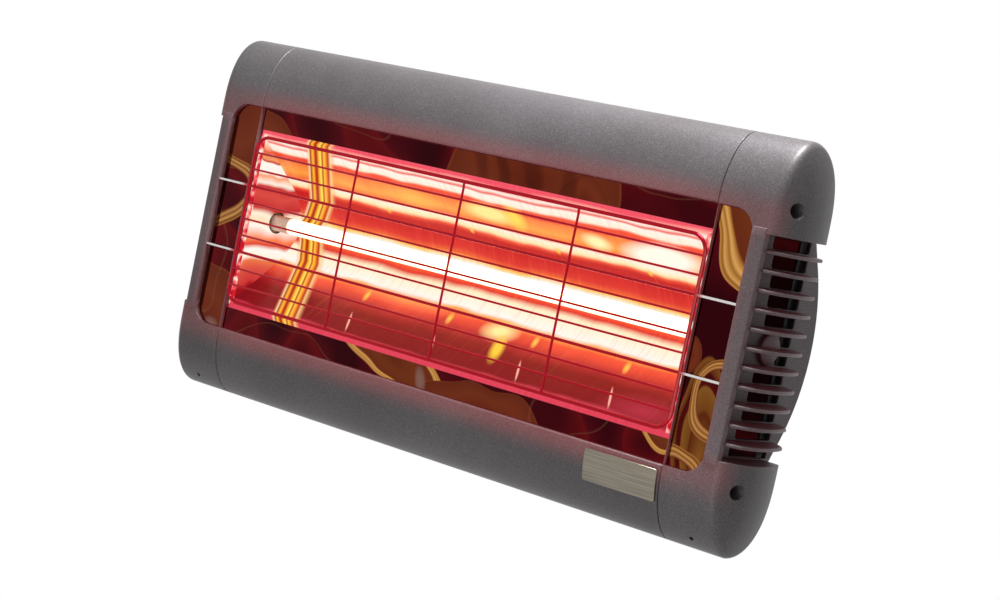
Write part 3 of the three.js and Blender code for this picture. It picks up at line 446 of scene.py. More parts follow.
def stove_enamel():
    """Metallic stove enamel on aluminium: grey-brown, satin and flaked, with a painted red glow of the lamp
    by the opening and in the vents, and painted shade on its inner faces.
    """
    material, shader = surface("metallic_stove_enamel", {"Metallic": 0.3, "Specular IOR Level": 0.22,
                                                         "Emission Strength": 1.0})
    place = add(material, "TexCoord").outputs["Object"]
    # Flake is about 0.1 mm across; it is drawn at 0.7 mm so that it shows.
    flake = add(material, "TexNoise", {"Scale": 1 / (0.7 * MM), "Detail": 3, "Roughness": 0.75},
                {"Vector": place})
    cloud = add(material, "TexNoise", {"Scale": 1 / (60 * MM), "Detail": 2}, {"Vector": place})
    tone = stops(add(material, "ValToRGB", links={"Fac": flake.outputs["Fac"]}),
                 [(0.3, "#454243"), (0.5, "#524f51"), (0.72, "#6c6a6c")])
    shade = stops(add(material, "ValToRGB", links={"Fac": cloud.outputs["Fac"]}),
                  [(0.3, "#e8e4e4"), (0.7, "#ffffff")])
    mixed = add(material, "Mix", {"Factor": 1.0}, {"A": tone, "B": shade}, data_type="RGBA",
                blend_type="MULTIPLY")
    rough = add(material, "MapRange", {"To Min": 0.36, "To Max": 0.52}, {"Value": flake.outputs["Fac"]})
    # Edges of the castings and extrusions are eased by half a millimetre, which catches the light.
    eased = add(material, "Bevel", {"Radius": 0.5 * MM})
    bump = add(material, "Bump", {"Strength": 0.25, "Distance": 0.12 * MM},
               {"Height": flake.outputs["Fac"], "Normal": eased.outputs["Normal"]})
    # A painted red glow of the lamp on the faces beside the opening.
    painted_lamp_spill = stops(add(material, "ValToRGB", links={"Fac": near_opening(material, place)}),
                  [(0.0, "#000000"), (0.2, "#2e0406"), (0.5, "#520c0e"), (1.0, "#701014")])
    # Faces seen from inside the cover get a faint painted red glow for the little of the lamp's red that
    # leaks past the trough's upper and lower edges.
    apart = add(material, "SeparateXYZ", links={"Vector": place})
    height = add(material, "Math", links={0: apart.outputs["Z"]}, operation="ABSOLUTE")
    painted_leak_glow = stops(add(material, "ValToRGB", links={"Fac": add(
        material, "MapRange", {"From Min": 30 * MM, "From Max": 66 * MM},
        {"Value": height.outputs["Value"]}).outputs["Result"]}),
                 [(0.0, "#0c0203"), (0.5, "#160304"), (0.74, "#300608"), (0.9, "#140304")])
    within = add(material, "NewGeometry").outputs["Backfacing"]
    inside = add(material, "Mix", {"A": colour("#000000")}, {"Factor": within, "B": painted_leak_glow}, data_type="RGBA")
    # Faces seen from inside get a near-black base colour: painted shade of the closed body.
    skin_with_painted_shade = add(material, "Mix", {"B": colour("#0c0a0a")}, {"Factor": within, "A": mixed.outputs["Result"]},
               data_type="RGBA")
    lit = add(material, "Mix", {"Factor": 1.0}, {"A": painted_lamp_spill, "B": inside.outputs["Result"]}, data_type="RGBA",
              blend_type="ADD")
    # A faint painted red glow, for the red from inside, also lies on the fins and the vent wall behind them.
    along = add(material, "Math", links={0: apart.outputs["X"]}, operation="ABSOLUTE")
    past_bar = add(material, "MapRange", {"From Min": 202 * MM, "From Max": 208 * MM},
                   {"Value": along.outputs["Value"]})
    between_lobes = add(material, "MapRange", {"From Min": 57 * MM, "From Max": 63 * MM, "To Min": 1.0,
                                               "To Max": 0.0}, {"Value": height.outputs["Value"]})
    vents = add(material, "Math", links={0: past_bar.outputs["Result"], 1: between_lobes.outputs["Result"]},
                operation="MULTIPLY")
    lit = add(material, "Mix", {"B": colour("#28070b")}, {"Factor": vents.outputs["Value"],
                                                         "A": lit.outputs["Result"]}, data_type="RGBA")
    feed(material, shader, {"Base Color": skin_with_painted_shade.outputs["Result"], "Roughness": rough.outputs["Result"],
                            "Normal": bump.outputs["Normal"], "Emission Color": lit.outputs["Result"]})
    return material


# Painted reflections that a mirror shows inside an ellipse, from its rim to its middle: colours, and how much
# of them.
PAINTED_REFLECTIONS = {
    "fold": ([(0.0, "#c88c44"), (0.03, "#8a5624"), (0.05, "#d09a54"), (0.09, "#9a642a"), (0.12, "#d6a058"),
              (0.16, "#a87034"), (0.19, "#642a16"), (0.5, "#6c3018"), (1.0, "#5a2412")],
             [(0.0, "#000000"), (0.006, "#ffffff")]),
    "arc": ([(0.0, "#a8703a"), (0.05, "#6a3818"), (0.09, "#c08c4c"), (0.14, "#7a4620"), (0.18, "#b8824a"),
             (0.24, "#5a2412")],
            [(0.0, "#000000"), (0.01, "#ffffff"), (0.24, "#ffffff"), (0.26, "#000000")]),
    "brown": ([(0.0, "#7c3c22"), (0.03, "#602616"), (0.4, "#6c2e1a"), (1.0, "#5c2012")],
              [(0.0, "#000000"), (0.012, "#ffffff")]),
    "stripe": ([(0.0, "#7a4a20"), (0.16, "#5a2a12"), (0.2, "#440a0c"), (0.34, "#4c0e0e"), (0.38, "#7c5020"),
                (0.6, "#6c3e18"), (0.64, "#582410"), (1.0, "#7c4e20")],
               [(0.0, "#000000"), (0.03, "#ffffff")]),
    "shade": ([(0.0, "#3c1010"), (1.0, "#2c0a0c")], [(0.0, "#000000"), (0.5, "#b0b0b0")]),
    "line": ([(0.0, "#9a6a4c"), (1.0, "#9a6a4c")], [(0.0, "#000000"), (0.02, "#6c6c6c"), (0.09, "#000000")]),
    "grey": ([(0.0, "#8c7c74"), (1.0, "#a89c92")], [(0.0, "#000000"), (0.4, "#8a8a8a")]),
}


def warm_mirror(name, shapes, seed):
    """Mirror-polished stainless steel with a painted reflection of a dim warm room: maroon with folds of
    brown and amber.

    Each shape is an ellipse (x, z, half width, half height in mm, tilt in degrees) with a kind of painted
    reflection from the table above.
    """
    material, shader = surface(name, {"Metallic": 1.0, "Roughness": 0.05, "Emission Strength": 1.0})
    place = add(material, "TexCoord").outputs["Object"]
    moved = add(material, "VectorMath", {1: (seed, seed, seed)}, {0: place},
                operation="ADD").outputs["Vector"]
    # The ground of the painted reflection: a dim maroon murk.
    painted_reflection_murk = add(material, "TexNoise", {"Scale": 1 / (60 * MM), "Detail": 0.5, "Distortion": 0.6},
               {"Vector": moved})
    shown = stops(add(material, "ValToRGB", links={"Fac": painted_reflection_murk.outputs["Fac"]}),
                  [(0.36, "#2e060c"), (0.48, "#480a12"), (0.5, "#5c0e12"), (0.64, "#3a080e")])
    # The sheet is not quite flat, so the outlines of the painted reflections sway by a few millimetres.
    waves = add(material, "TexNoise", {"Scale": 1 / (38 * MM), "Detail": 0.4}, {"Vector": moved})
    sway = add(material, "VectorMath", {1: (0.5, 0.5, 0.5)}, {0: waves.outputs["Color"]},
               operation="SUBTRACT")
    reach = add(material, "VectorMath", {"Scale": 22 * MM}, {0: sway.outputs["Vector"]}, operation="SCALE")
    bent = add(material, "VectorMath", links={0: place, 1: reach.outputs["Vector"]}, operation="ADD")
    for *ellipse, kind in shapes:
        fade = spot(material, bent.outputs["Vector"], *ellipse)
        colours, amounts = PAINTED_REFLECTIONS[kind]
        inside = stops(add(material, "ValToRGB", links={"Fac": fade}), colours)
        amount = stops(add(material, "ValToRGB", links={"Fac": fade}), amounts)
        shown = add(material, "Mix", links={"Factor": amount, "A": shown, "B": inside},
                    data_type="RGBA").outputs["Result"]
    # The cut edge of the sheet is matt; the pink of the lamp on it is a painted glow.
    rim = stops(add(material, "ValToRGB", links={"Fac": facing(material, "Y")}),
                [(0.5, "#8a3c44"), (0.95, "#000000")])
    feed(material, shader, {"Base Color": shown, "Emission Color": rim})
    return material


# Painted bands of the lamp's light and its reflections on the trough, from its upper edge to its lower one:
# shares of its height, and colours.
PAINTED_TROUGH_BANDS = [
    (0.0, "#f05468"), (0.02, "#ffb0a0"), (0.036, "#fff2e8"), (0.05, "#e8483a"), (0.06, "#fff6ec"),
    (0.088, "#fff0d8"), (0.1, "#ee5030"), (0.126, "#dc3028"), (0.138, "#f07c38"), (0.19, "#f8a040"),
    (0.224, "#f06a34"), (0.238, "#fff2dc"), (0.264, "#ffe8b0"), (0.282, "#ec4c30"), (0.3, "#c01c20"),
    (0.345, "#c8282a"), (0.4, "#dc3c34"), (0.43, "#f06a3c"), (0.445, "#ffc860"), (0.472, "#fffaf0"),
    (0.515, "#fffaf0"), (0.535, "#ffb050"), (0.56, "#ee5834"), (0.585, "#dc3a30"), (0.615, "#fff0c8"),
    (0.7, "#fffaf0"), (0.72, "#ffa850"), (0.75, "#e85436"), (0.81, "#a81e24"), (0.86, "#7a1016"),
    (0.965, "#7c121c"), (0.985, "#dc4058")]
# Painted hot spots of the lamp's light on it: middle (x, z) and half size in mm, tilt in degrees, colour and
# strength.
PAINTED_TROUGH_HIGHLIGHTS = [
    (3, 37.5, 26, 6, 0, "#ffe890", 1.6), (24, 38, 10, 8, 0, "#ffd850", 1.3),
    (84, 35, 13, 5, 0, "#fff0b0", 1.5), (131, 34.5, 34, 9, -4, "#fff8e8", 2.0),
    (-60, 36, 24, 7, 0, "#ffb848", 0.9), (22, -29, 16, 7, 0, "#fff0a0", 1.3),
    (31, -38, 5, 11, -36, "#ffd040", 1.5), (-60, -26, 60, 5, 0, "#ff9858", 0.7),
    (150, -48, 34, 9, 0, "#b83048", 0.8)]
# Small painted glints, three at each place along the sheet.
for glint_x in (-90, -20, 48, 116):
    PAINTED_TROUGH_HIGHLIGHTS += [(glint_x, 24.5, 2.2, 2.2, 0, "#ffc850", 1.2),
                     (glint_x + 2, -29.5, 2.4, 4.5, -30, "#ffc850", 1.2),
                     (glint_x + 9, -46, 0.8, 8, -40, "#ffb0a0", 2.2)]


def polished_trough():
    """Polished aluminium sheet around the lamp: painted bands of its light along the folds, white to deep
    red.
    """
    # The dark red metal colour is a painted reflection of a dim red surround.
    material, shader = surface("polished_aluminium", {
        "Base Color": colour("#44160f"), "Metallic": 1.0, "Roughness": 0.3, "Emission Strength": 1.0})
    place = add(material, "TexCoord").outputs["Object"]
    apart = add(material, "SeparateXYZ", links={"Vector": place})
    lumps = add(material, "TexNoise", {"Scale": 1 / (55 * MM), "Detail": 2, "Roughness": 0.6},
                {"Vector": place})
    sway = add(material, "MapRange", {"To Min": -3.4 * MM, "To Max": 3.4 * MM},
               {"Value": lumps.outputs["Fac"]})
    height = add(material, "Math", links={0: apart.outputs["Z"], 1: sway.outputs["Result"]}, operation="ADD")
    share = add(material, "MapRange", {"From Min": MOUTH_HALF, "From Max": -MOUTH_HALF},
                {"Value": height.outputs["Value"]})
    bands = stops(add(material, "ValToRGB", links={"Fac": share.outputs["Result"]}), PAINTED_TROUGH_BANDS)

    # Drawing marks across the sheet break the painted bands into short upright streaks and add small painted
    # sparks.
    drawn = add(material, "VectorMath", {1: (1 / (2.6 * MM), 0, 1 / (26 * MM))}, {0: place},
                operation="MULTIPLY")
    marks = add(material, "TexNoise", {"Scale": 1.0, "Detail": 3, "Roughness": 0.6},
                {"Vector": drawn.outputs["Vector"]})
    streaks = stops(add(material, "ValToRGB", links={"Fac": marks.outputs["Fac"]}),
                    [(0.38, "#d8a8a0"), (0.5, "#ffffff")])
    lit = add(material, "Mix", {"Factor": 0.18}, {"A": bands, "B": streaks}, data_type="RGBA",
              blend_type="MULTIPLY").outputs["Result"]
    painted_sparks = stops(add(material, "ValToRGB", links={"Fac": marks.outputs["Fac"]}),
                   [(0.58, "#000000"), (0.7, "#3c2c10")])
    lit = add(material, "Mix", {"Factor": 1.0}, {"A": lit, "B": painted_sparks}, data_type="RGBA",
              blend_type="ADD").outputs["Result"]

    # Each painted hot spot is laid over the bands.
    for *ellipse, code, strength in PAINTED_TROUGH_HIGHLIGHTS:
        fade = spot(material, place, *ellipse)
        amount = add(material, "Math", {1: strength}, {0: fade}, operation="MULTIPLY", use_clamp=True)
        lit = add(material, "Mix", {"B": colour(code)}, {"Factor": amount.outputs["Value"], "A": lit},
                  data_type="RGBA").outputs["Result"]

    # Near the left end a painted reflection of the end sheet shows in the folds as a slanting bundle of
    # yellow lines.
    spread = add(material, "Math", links={0: apart.outputs["Z"]}, operation="ABSOLUTE")
    lean = add(material, "Math", {1: -0.8}, {0: spread.outputs["Value"]}, operation="MULTIPLY")
    across = add(material, "Math", links={0: apart.outputs["X"], 1: lean.outputs["Value"]}, operation="ADD")
    bundle = add(material, "MapRange", {"From Min": -182 * MM, "From Max": -156 * MM},
                 {"Value": across.outputs["Value"]})
    lines = stops(add(material, "ValToRGB", links={"Fac": bundle.outputs["Result"]}), [
        (0.0, "#e8623c"), (0.1, "#ffe8b0"), (0.15, "#a01810"), (0.24, "#ffc030"), (0.3, "#d04c18"),
        (0.36, "#8c100c"), (0.42, "#f09820"), (0.5, "#ffe860"), (0.56, "#b83010"), (0.62, "#ffc840"),
        (0.7, "#e87820"), (0.76, "#b02414"), (0.84, "#ffd890"), (1.0, "#e06a44")])
    where = stops(add(material, "ValToRGB", links={"Fac": bundle.outputs["Result"]}),
                  [(0.0, "#000000"), (0.12, "#ffffff"), (0.8, "#ffffff"), (1.0, "#000000")])
    lit = add(material, "Mix", links={"Factor": where, "A": lit, "B": lines},
              data_type="RGBA").outputs["Result"]
    waves = add(material, "TexNoise", {"Scale": 1 / (14 * MM), "Detail": 1}, {"Vector": place})
    bump = add(material, "Bump", {"Strength": 0.3, "Distance": 0.6 * MM}, {"Height": waves.outputs["Fac"]})
    # Only the side towards the lamp gets the painted glow; the back of the sheet gets a dim painted red.
    looks = add(material, "SeparateXYZ", links={"Vector": add(material, "TexCoord").outputs["Normal"]})
    inner = add(material, "Math", {1: -0.05}, {0: looks.outputs["Y"]}, operation="LESS_THAN")
    shown = add(material, "Mix", {"A": colour("#1c0204")}, {"Factor": inner.outputs["Value"], "B": lit},
                data_type="RGBA")
    feed(material, shader, {"Emission Color": shown.outputs["Result"], "Normal": bump.outputs["Normal"]})
    return material


def lit_end_sheet():
    """Polished aluminium close to the lamp's end: painted bands of the lamp's light, white and orange with a
    few dark red lines.
    """
    # The dark red metal colour is a painted reflection of a dim red surround.
    material, shader = surface("polished_aluminium_end", {
        "Base Color": colour("#44160f"), "Metallic": 1.0, "Roughness": 0.2, "Emission Strength": 1.0})
    texture = add(material, "TexCoord")
    place = texture.outputs["Object"]
    apart = add(material, "SeparateXYZ", links={"Vector": place})
    bend = add(material, "TexNoise", {"Scale": 1 / (34 * MM), "Detail": 0.6, "Distortion": 0.8},
               {"Vector": place})
    sway = add(material, "MapRange", {"To Min": -9 * MM, "To Max": 9 * MM}, {"Value": bend.outputs["Fac"]})
    height = add(material, "Math", links={0: apart.outputs["Z"], 1: sway.outputs["Result"]}, operation="ADD")
    share = add(material, "MapRange", {"From Min": MOUTH_HALF, "From Max": -MOUTH_HALF},
                {"Value": height.outputs["Value"]})
    lit = stops(add(material, "ValToRGB", links={"Fac": share.outputs["Result"]}),
                [(0.0, "#fff4ec"), (0.05, "#ffb898"), (0.09, "#e05c40"), (0.15, "#f0a068"), (0.17, "#b81c20"),
                 (0.18, "#fff6ec"), (0.25, "#fff6ec"), (0.27, "#ff9c70"), (0.31, "#fff2e0"),
                 (0.33, "#c83030"), (0.37, "#d44c44"), (0.42, "#c02c30"), (0.45, "#fff0d8"),
                 (0.5, "#ffe0b8"), (0.53, "#fffaf0"),
                 (0.6, "#ff8858"), (0.64, "#d8402c"), (0.67, "#fffaf0"), (0.72, "#fff2e0"), (0.75, "#e87848"),
                 (0.8, "#dc5c48"), (0.88, "#cc3838"), (0.9, "#9c141a"), (1.0, "#7a1014")])
    looks = add(material, "SeparateXYZ", links={"Vector": texture.outputs["Normal"]})
    side = add(material, "Math", links={0: apart.outputs["X"], 1: looks.outputs["X"]}, operation="MULTIPLY")
    # Only the side towards the lamp gets the painted glow; behind it a faint painted red stands for the red
    # that leaks past the trough's edges.
    inner = add(material, "Math", {1: 0.0}, {0: side.outputs["Value"]}, operation="LESS_THAN")
    both = add(material, "Mix", {"A": colour("#200305")}, {"Factor": inner.outputs["Value"], "B": lit},
               data_type="RGBA").outputs["Result"]
    # The lip that faces the room gets a painted pink glow with short painted white glints.
    painted_glints = add(material, "TexNoise", {"Scale": 1 / (5 * MM), "Detail": 1}, {"Vector": place})
    painted_pink = stops(add(material, "ValToRGB", links={"Fac": painted_glints.outputs["Fac"]}),
                 [(0.4, "#c81828"), (0.5, "#f0505c"), (0.6, "#ffb0a0"), (0.68, "#fff0e8")])
    ahead = add(material, "MapRange", {"From Min": 0.6, "From Max": 0.9}, {"Value": facing(material, "Y")})
    both = add(material, "Mix", links={"Factor": ahead.outputs["Result"], "A": both, "B": painted_pink},
               data_type="RGBA")
    feed(material, shader, {"Emission Color": both.outputs["Result"]})
    return material


def drawn_steel():
    """Bright drawn steel wire: plain outside the opening; in front of it a painted deep red, a darker red
    colour and a red glow, stands for the lamp's light.
    """
    material, shader = surface("bright_drawn_steel", {"Metallic": 1.0, "Roughness": 0.2,
                                                      "Emission Strength": 0.45})
    place = add(material, "TexCoord").outputs["Object"]
    apart = add(material, "SeparateXYZ", links={"Vector": place})
    away = add(material, "Math", links={0: apart.outputs["X"]}, operation="ABSOLUTE")
    share = add(material, "MapRange", {"From Min": 176 * MM, "From Max": 182 * MM},
                {"Value": away.outputs["Value"]})
    # In front of the opening the wire gets painted red light: a darker red colour and a red glow.
    tint_with_painted_red = stops(add(material, "ValToRGB", links={"Fac": share.outputs["Result"]}),
                 [(0.0, "#7a1420"), (0.5, "#a86a66"), (1.0, "#d2cecc")])
    painted_red_glow = stops(add(material, "ValToRGB", links={"Fac": share.outputs["Result"]}),
                 [(0.0, "#a80c1c"), (1.0, "#000000")])
    feed(material, shader, {"Base Color": tint_with_painted_red, "Emission Color": painted_red_glow})
    return material


def glowing_coil():
    """White-hot wound tungsten wire that gives off its own light."""
    hot = colour("#ffdcb0")
    return surface("tungsten_coil", {
        "Base Color": hot, "Roughness": 0.4, "Emission Color": hot, "Emission Strength": 3.0})[0]


def red_quartz():
    """Drawn quartz glass with a red filter coat: clear, glossy and lit from inside."""
    return surface("red_quartz_glass", {
        "Base Color": colour("#ff7a3c"), "Roughness": 0.04, "Alpha": 0.35,
        "Emission Color": colour("#ffe8d0"), "Emission Strength": 2.6})[0]


def plain(name, code, second, grain, metallic, roughness, depth=0.05):
    """A surface of two close colours in a fine grain, its grain and depth in mm."""
    material, shader = surface(name, {"Metallic": metallic, "Roughness": roughness})
    place = add(material, "TexCoord").outputs["Object"]
    speck = add(material, "TexNoise", {"Scale": 1 / (grain * MM), "Detail": 3}, {"Vector": place})
    tone = stops(add(material, "ValToRGB", links={"Fac": speck.outputs["Fac"]}),
                 [(0.35, code), (0.65, second)])
    relief = add(material, "Bump", {"Strength": 0.4, "Distance": depth * MM},
                 {"Height": speck.outputs["Fac"]})
    feed(material, shader, {"Base Color": tone, "Normal": relief.outputs["Normal"]})
    return material


def brushed_badge():
    """Brushed anodised aluminium, olive bronze: fine brush lines along the plate."""
    material, shader = surface("brushed_bronze_anodising", {"Metallic": 0.8, "Roughness": 0.34})
    place = add(material, "TexCoord").outputs["Object"]
    drawn = add(material, "VectorMath", {1: (1 / (30 * MM), 1 / (0.5 * MM), 1 / (0.5 * MM))}, {0: place},
                operation="MULTIPLY")
    lines = add(material, "TexNoise", {"Scale": 1.0, "Detail": 3}, {"Vector": drawn.outputs["Vector"]})
    tone = stops(add(material, "ValToRGB", links={"Fac": lines.outputs["Fac"]}),
                 [(0.3, "#6a6358"), (0.7, "#8f887a")])
    bump = add(material, "Bump", {"Strength": 0.3, "Distance": 0.05 * MM}, {"Height": lines.outputs["Fac"]})
    feed(material, shader, {"Base Color": tone, "Normal": bump.outputs["Normal"]})
    return material


enamel = stove_enamel()
# Barrel-plated zinc is a cool bright grey with a soft mottle.
zinc = plain("zinc_plated_steel", "#8d9092", "#b4b6b4", 2.5, 1.0, 0.36)
# Baked powder is near black, half matt, with a fine orange peel.
black_coat = plain("black_powder_coat", "#1d1d1f", "#2b2b2e", 0.9, 0.0, 0.45, 0.12)
# Pressed and fired steatite is matt, warm white and faintly speckled.
ceramic = plain("steatite_ceramic", "#d9cfbc", "#efe7d8", 1.2, 0.0, 0.6)
# Brass turned from bar is warm and bright.
brass = plain("brass", "#a8853f", "#c29b52", 3.0, 1.0, 0.3)
# Moulded nylon is near black with the fine matt grain of its tool.
nylon = plain("moulded_nylon", "#17181a", "#232427", 0.8, 0.0, 0.5, 0.1)
# An extruded silicone sleeve is a matt brick red.
silicone = plain("silicone_rubber", "#a4462f", "#b9573c", 1.5, 0.0, 0.55)
# The painted reflections on each mirror, as ellipses with their kinds.
mirror_metals = {
    "top": warm_mirror("mirror_steel_top", [
        (-182, 58, 36, 18, 20, "brown"), (44, 62, 64, 34, 0, "brown"), (84, 60, 18, 12, 20, "brown"),
        (6, 66, 7, 22, -24, "shade"), (26, 64, 6, 24, -18, "shade"), (48, 64, 8, 26, -24, "shade"),
        (72, 64, 6, 22, -20, "shade"), (-98, 76, 36, 11, 0, "line"), (150, 80, 46, 12, -4, "line")], 0.31),
    "bottom": warm_mirror("mirror_steel_bottom", [
        (-34, -56, 50, 15, 14, "fold"), (48, -76, 56, 16, 6, "brown"), (174, -50, 24, 12, 16, "fold"),
        (-6, -65, 5, 9, 0, "grey"), (-120, -74, 50, 10, 0, "line"), (108, -60, 30, 14, -12, "line")], 0.77),
    "right": warm_mirror("mirror_steel_right", [
        (217, 90, 46, 66, 0, "fold"), (207, 18, 7, 9, 0, "arc"), (178, -14, 9, 12, 30, "brown"),
        (198, -62, 17, 54, -4, "stripe"), (205, -32, 19, 24, 0, "arc"), (186, -80, 22, 22, 0, "arc"),
        (186, -74, 13, 12, 0, "line")], 1.19),
    "left": warm_mirror("mirror_steel_left", [
        (-196, 76, 40, 44, 0, "brown"), (-204, 16, 30, 26, 0, "arc"), (-192, -74, 30, 46, -20, "brown"),
        (-208, -30, 20, 40, 0, "line"), (-190, -70, 8, 7, 0, "grey")], 1.63),
}


# ---- Casings and end caps ------------------------------------------------------------------
def casing():
    """The upper casing: a bulged section with a lip along the window and eased ends."""
    corner, ease, lead = 1 * MM, 0.4 * MM, 6

    def loop(inset):
        turn = [(casing_front + inset + corner * (1 - math.sin(t)), window_half + corner * (1 - math.cos(t)))
                for t in (i / 4 * math.pi / 2 for i in range(4))]
        outer = bulge(inset, window_half + corner)[:-lead]
        inner = bulge(CASING_WALL, window_half + LIP_THICKNESS)[:-lead]
        lip = [(casing_front + LIP, window_half + LIP_THICKNESS), (casing_front + LIP, window_half)]
        return turn + outer + inner[::-1] + lip

    places = [(-casing_x, ease), (-casing_x + ease, 0), (0, 0), (casing_x - ease, 0), (casing_x, ease)]
    return loft([[(x, y, z) for y, z in loop(inset)] for x, inset in places])


def face_x(y, z):
    """X of a lobe's domed face at a place y and a height z."""
    share = max(0.0, (z - lobe_low) / (casing_top - lobe_low))
    return crown(y) - DOME_DROP * share ** 3


def lobe():
    """The closed bulge of the right end cap above its vents, with a rounded edge to its domed face."""
    ease, lead, steps = 0.35 * MM, 12, 6

    def ring(inset, place):
        return [(place(y, z), y, z) for y, z in bulge(inset, lobe_low, lead=lead)]

    start = cap_inner + ease
    rows = [ring(ease, lambda y, z: cap_inner)]
    for share in shares(steps):
        rows.append(ring(0, lambda y, z: start + (face_x(y, z) - CAST_EDGE - start) * share))
    inward = quarter(CAST_EDGE, steps)
    for inset, back in zip(inward[1:], inward[-2::-1]):
        rows.append(ring(inset, lambda y, z: face_x(y, z) - back))
    rim = rows[-1][lead:-lead]
    side = []
    for share in shares(lead):
        heights = [z + (lobe_low - z) * share for _, _, z in rim]
        side.append([(face_x(y, height), y, height) for (_, y, _), height in zip(rim, heights)])
    floor = [row[0] for row in rows] + side[-1] + [row[-1] for row in reversed(rows)]
    return woven(quads(rows) + quads(side) + [rows[0], floor])


def mirror_opening(left, grow=0, left_corner=0):
    """The side mirror's rectangle with its two round corners, grown outward."""
    half, corner = window_half + grow, MIRROR_CORNER + grow
    return rounded(left, bar_inner + grow, -half, half, [left_corner, corner, corner, left_corner])


def pocket_cutter():
    """The side mirror's pocket, with all that stands ahead of it."""
    ahead, past = 20 * MM, 3 * MM
    return plate(mirror_opening(cap_inner - past), POCKET_DEPTH + ahead,
                 front_view(at((POCKET_DEPTH - ahead) / 2)), bevel=0.01 * MM, steps=0)


def hole_cutter():
    """The deep screw hole: a straight bore with an eased mouth."""
    face = crown(at(HOLE_DEPTH))
    floor, mouth_start, mouth_end, past = 5 * MM, 1.2 * MM, 0.6 * MM, 3 * MM
    profile = [(cap_inner + floor, HOLE_RADIUS), (face - mouth_start, HOLE_RADIUS),
               (face + mouth_end, HOLE_MOUTH), (crown_x + past, HOLE_MOUTH)]
    return turned(profile, side_view(0, at(HOLE_DEPTH), hole_z), 36)


def drain_cutter():
    """The small drain hole through the upper lobe's front, turned down later for the lower one."""
    across, up = math.cos(DRAIN_ANGLE), math.sin(DRAIN_ANGLE)
    out = Vector((0, across / FRONT_BULGE, up / bulge_rise)).normalized()
    place = (cap_inner + DRAIN_IN, bulge_y + FRONT_BULGE * across, bulge_z + bulge_rise * up)
    inside, outside = -9 * MM, 5 * MM
    return turned([(inside, DRAIN_RADIUS), (outside, DRAIN_RADIUS)],
                  Matrix.Translation(place) @ out.to_track_quat("Z", "Y").to_matrix().to_4x4(), 20)


def slot_plan(index):
    """One vent slot as (y, z) points; the two beside the boss are short."""
    middle = FINS / 2
    share = 1 - (abs(index - middle) / middle) ** 2
    front = SHORT_SLOT if abs(index - middle) < 1 else SLOT_FRONT + SLOT_BULGE * share
    z, half = (middle - index) * FIN_PITCH, SLOT_HEIGHT / 2
    return rounded(at(front), at(SLOT_REAR), z - half, z + half, 1.6 * MM, 4)


def fin_plan():
    """A fin as (x, y) points, from the bar's side along the crown to its tail on the vent wall."""
    ahead, tail = at(10 * MM), casing_rear + 7.5 * MM
    length = casing_rear - 3 * MM - ahead
    edge_line = [(crown(y), y) for y in (ahead + length * share for share in shares(14))]
    root = vent_x - 1 * MM
    nose = [(bar_outer - 2 * MM, at(1.6 * MM)), (bar_outer + 1.2 * MM, at(1.6 * MM)),
            (bar_outer + 2.6 * MM, at(2.3 * MM)), (crown(ahead) - 2 * MM, at(5 * MM))]
    turn = [(crown(casing_rear) - 1.5 * MM, casing_rear + 0.6 * MM),
            (crown(casing_rear) - 6 * MM, casing_rear + 4.6 * MM)]
    return [*nose, *edge_line, *turn, (vent_x, tail), (root, tail), (root, at(FRAME_BACK))]


def soft(points, radius, steps):
    """A polygon with each corner turned into an arc."""
    made = []
    count = len(points)
    for i in range(count):
        before, here, after = (Vector(points[j % count]) for j in (i - 1, i, i + 1))
        back, on = before - here, after - here
        reach = min(radius, 0.45 * back.length, 0.45 * on.length)
        a, b = here + back.normalized() * reach, here + on.normalized() * reach
        made += [tuple(a * (1 - t) ** 2 + here * 2 * t * (1 - t) + b * t ** 2) for t in shares(steps)]
    return made


def bar():
    """The raised upright bar with its sloping ends, and the web that runs back to the vent wall."""
    side = bar_front + 1.2 * MM
    web, web_end = at(FRAME_BACK), at(FRAME_BACK) + 2 * MM
    inner = vent_x - VENT_WALL
    back = at(POCKET_DEPTH)
    corner, steps, foot = 1 * MM, 4, 0.4 * MM
    face = [(bar_inner, back), (bar_inner, bar_front), (bar_outer, side), (bar_outer, side + 3.5 * MM)]
    turns = soft(face, corner, steps)[steps + 1:3 * (steps + 1)]
    plan = [face[0], *turns, face[-1], (bar_inner + 3.6 * MM, web + 0.4 * MM), (vent_x, web_end),
            (inner, web_end), (inner, back)]
    end = lobe_low + BAR_PAST
    rows = [[(x, max(y, at(0)), -end) for x, y in plan]]
    for share in shares(8):
        limit = bar_front + BAR_END_DROP * (1 - share) ** 1.2
        z = -end + foot + (BAR_SLOPE - foot) * share
        rows.append([(x, max(y, limit), z) for x, y in plan])
    rows += [[(x, y, -z) for x, y, z in row] for row in reversed(rows)]
    return loft(rows)


def vent_wall():
    """The arched wall with twelve slots between the lobes."""
    rear = []
    for share in shares(24):
        z = lobe_low * (2 * share - 1)
        rear.append((at(VENT_DEPTH - VENT_ARC + math.sqrt(VENT_ARC ** 2 - z ** 2)), z))
    outline = [(at(POCKET_DEPTH), -lobe_low), *rear, (at(POCKET_DEPTH), lobe_low)]
    return plate(outline, VENT_WALL, side_view(vent_x - VENT_WALL / 2),
                 holes=[slot_plan(i) for i in range(FINS + 1)])


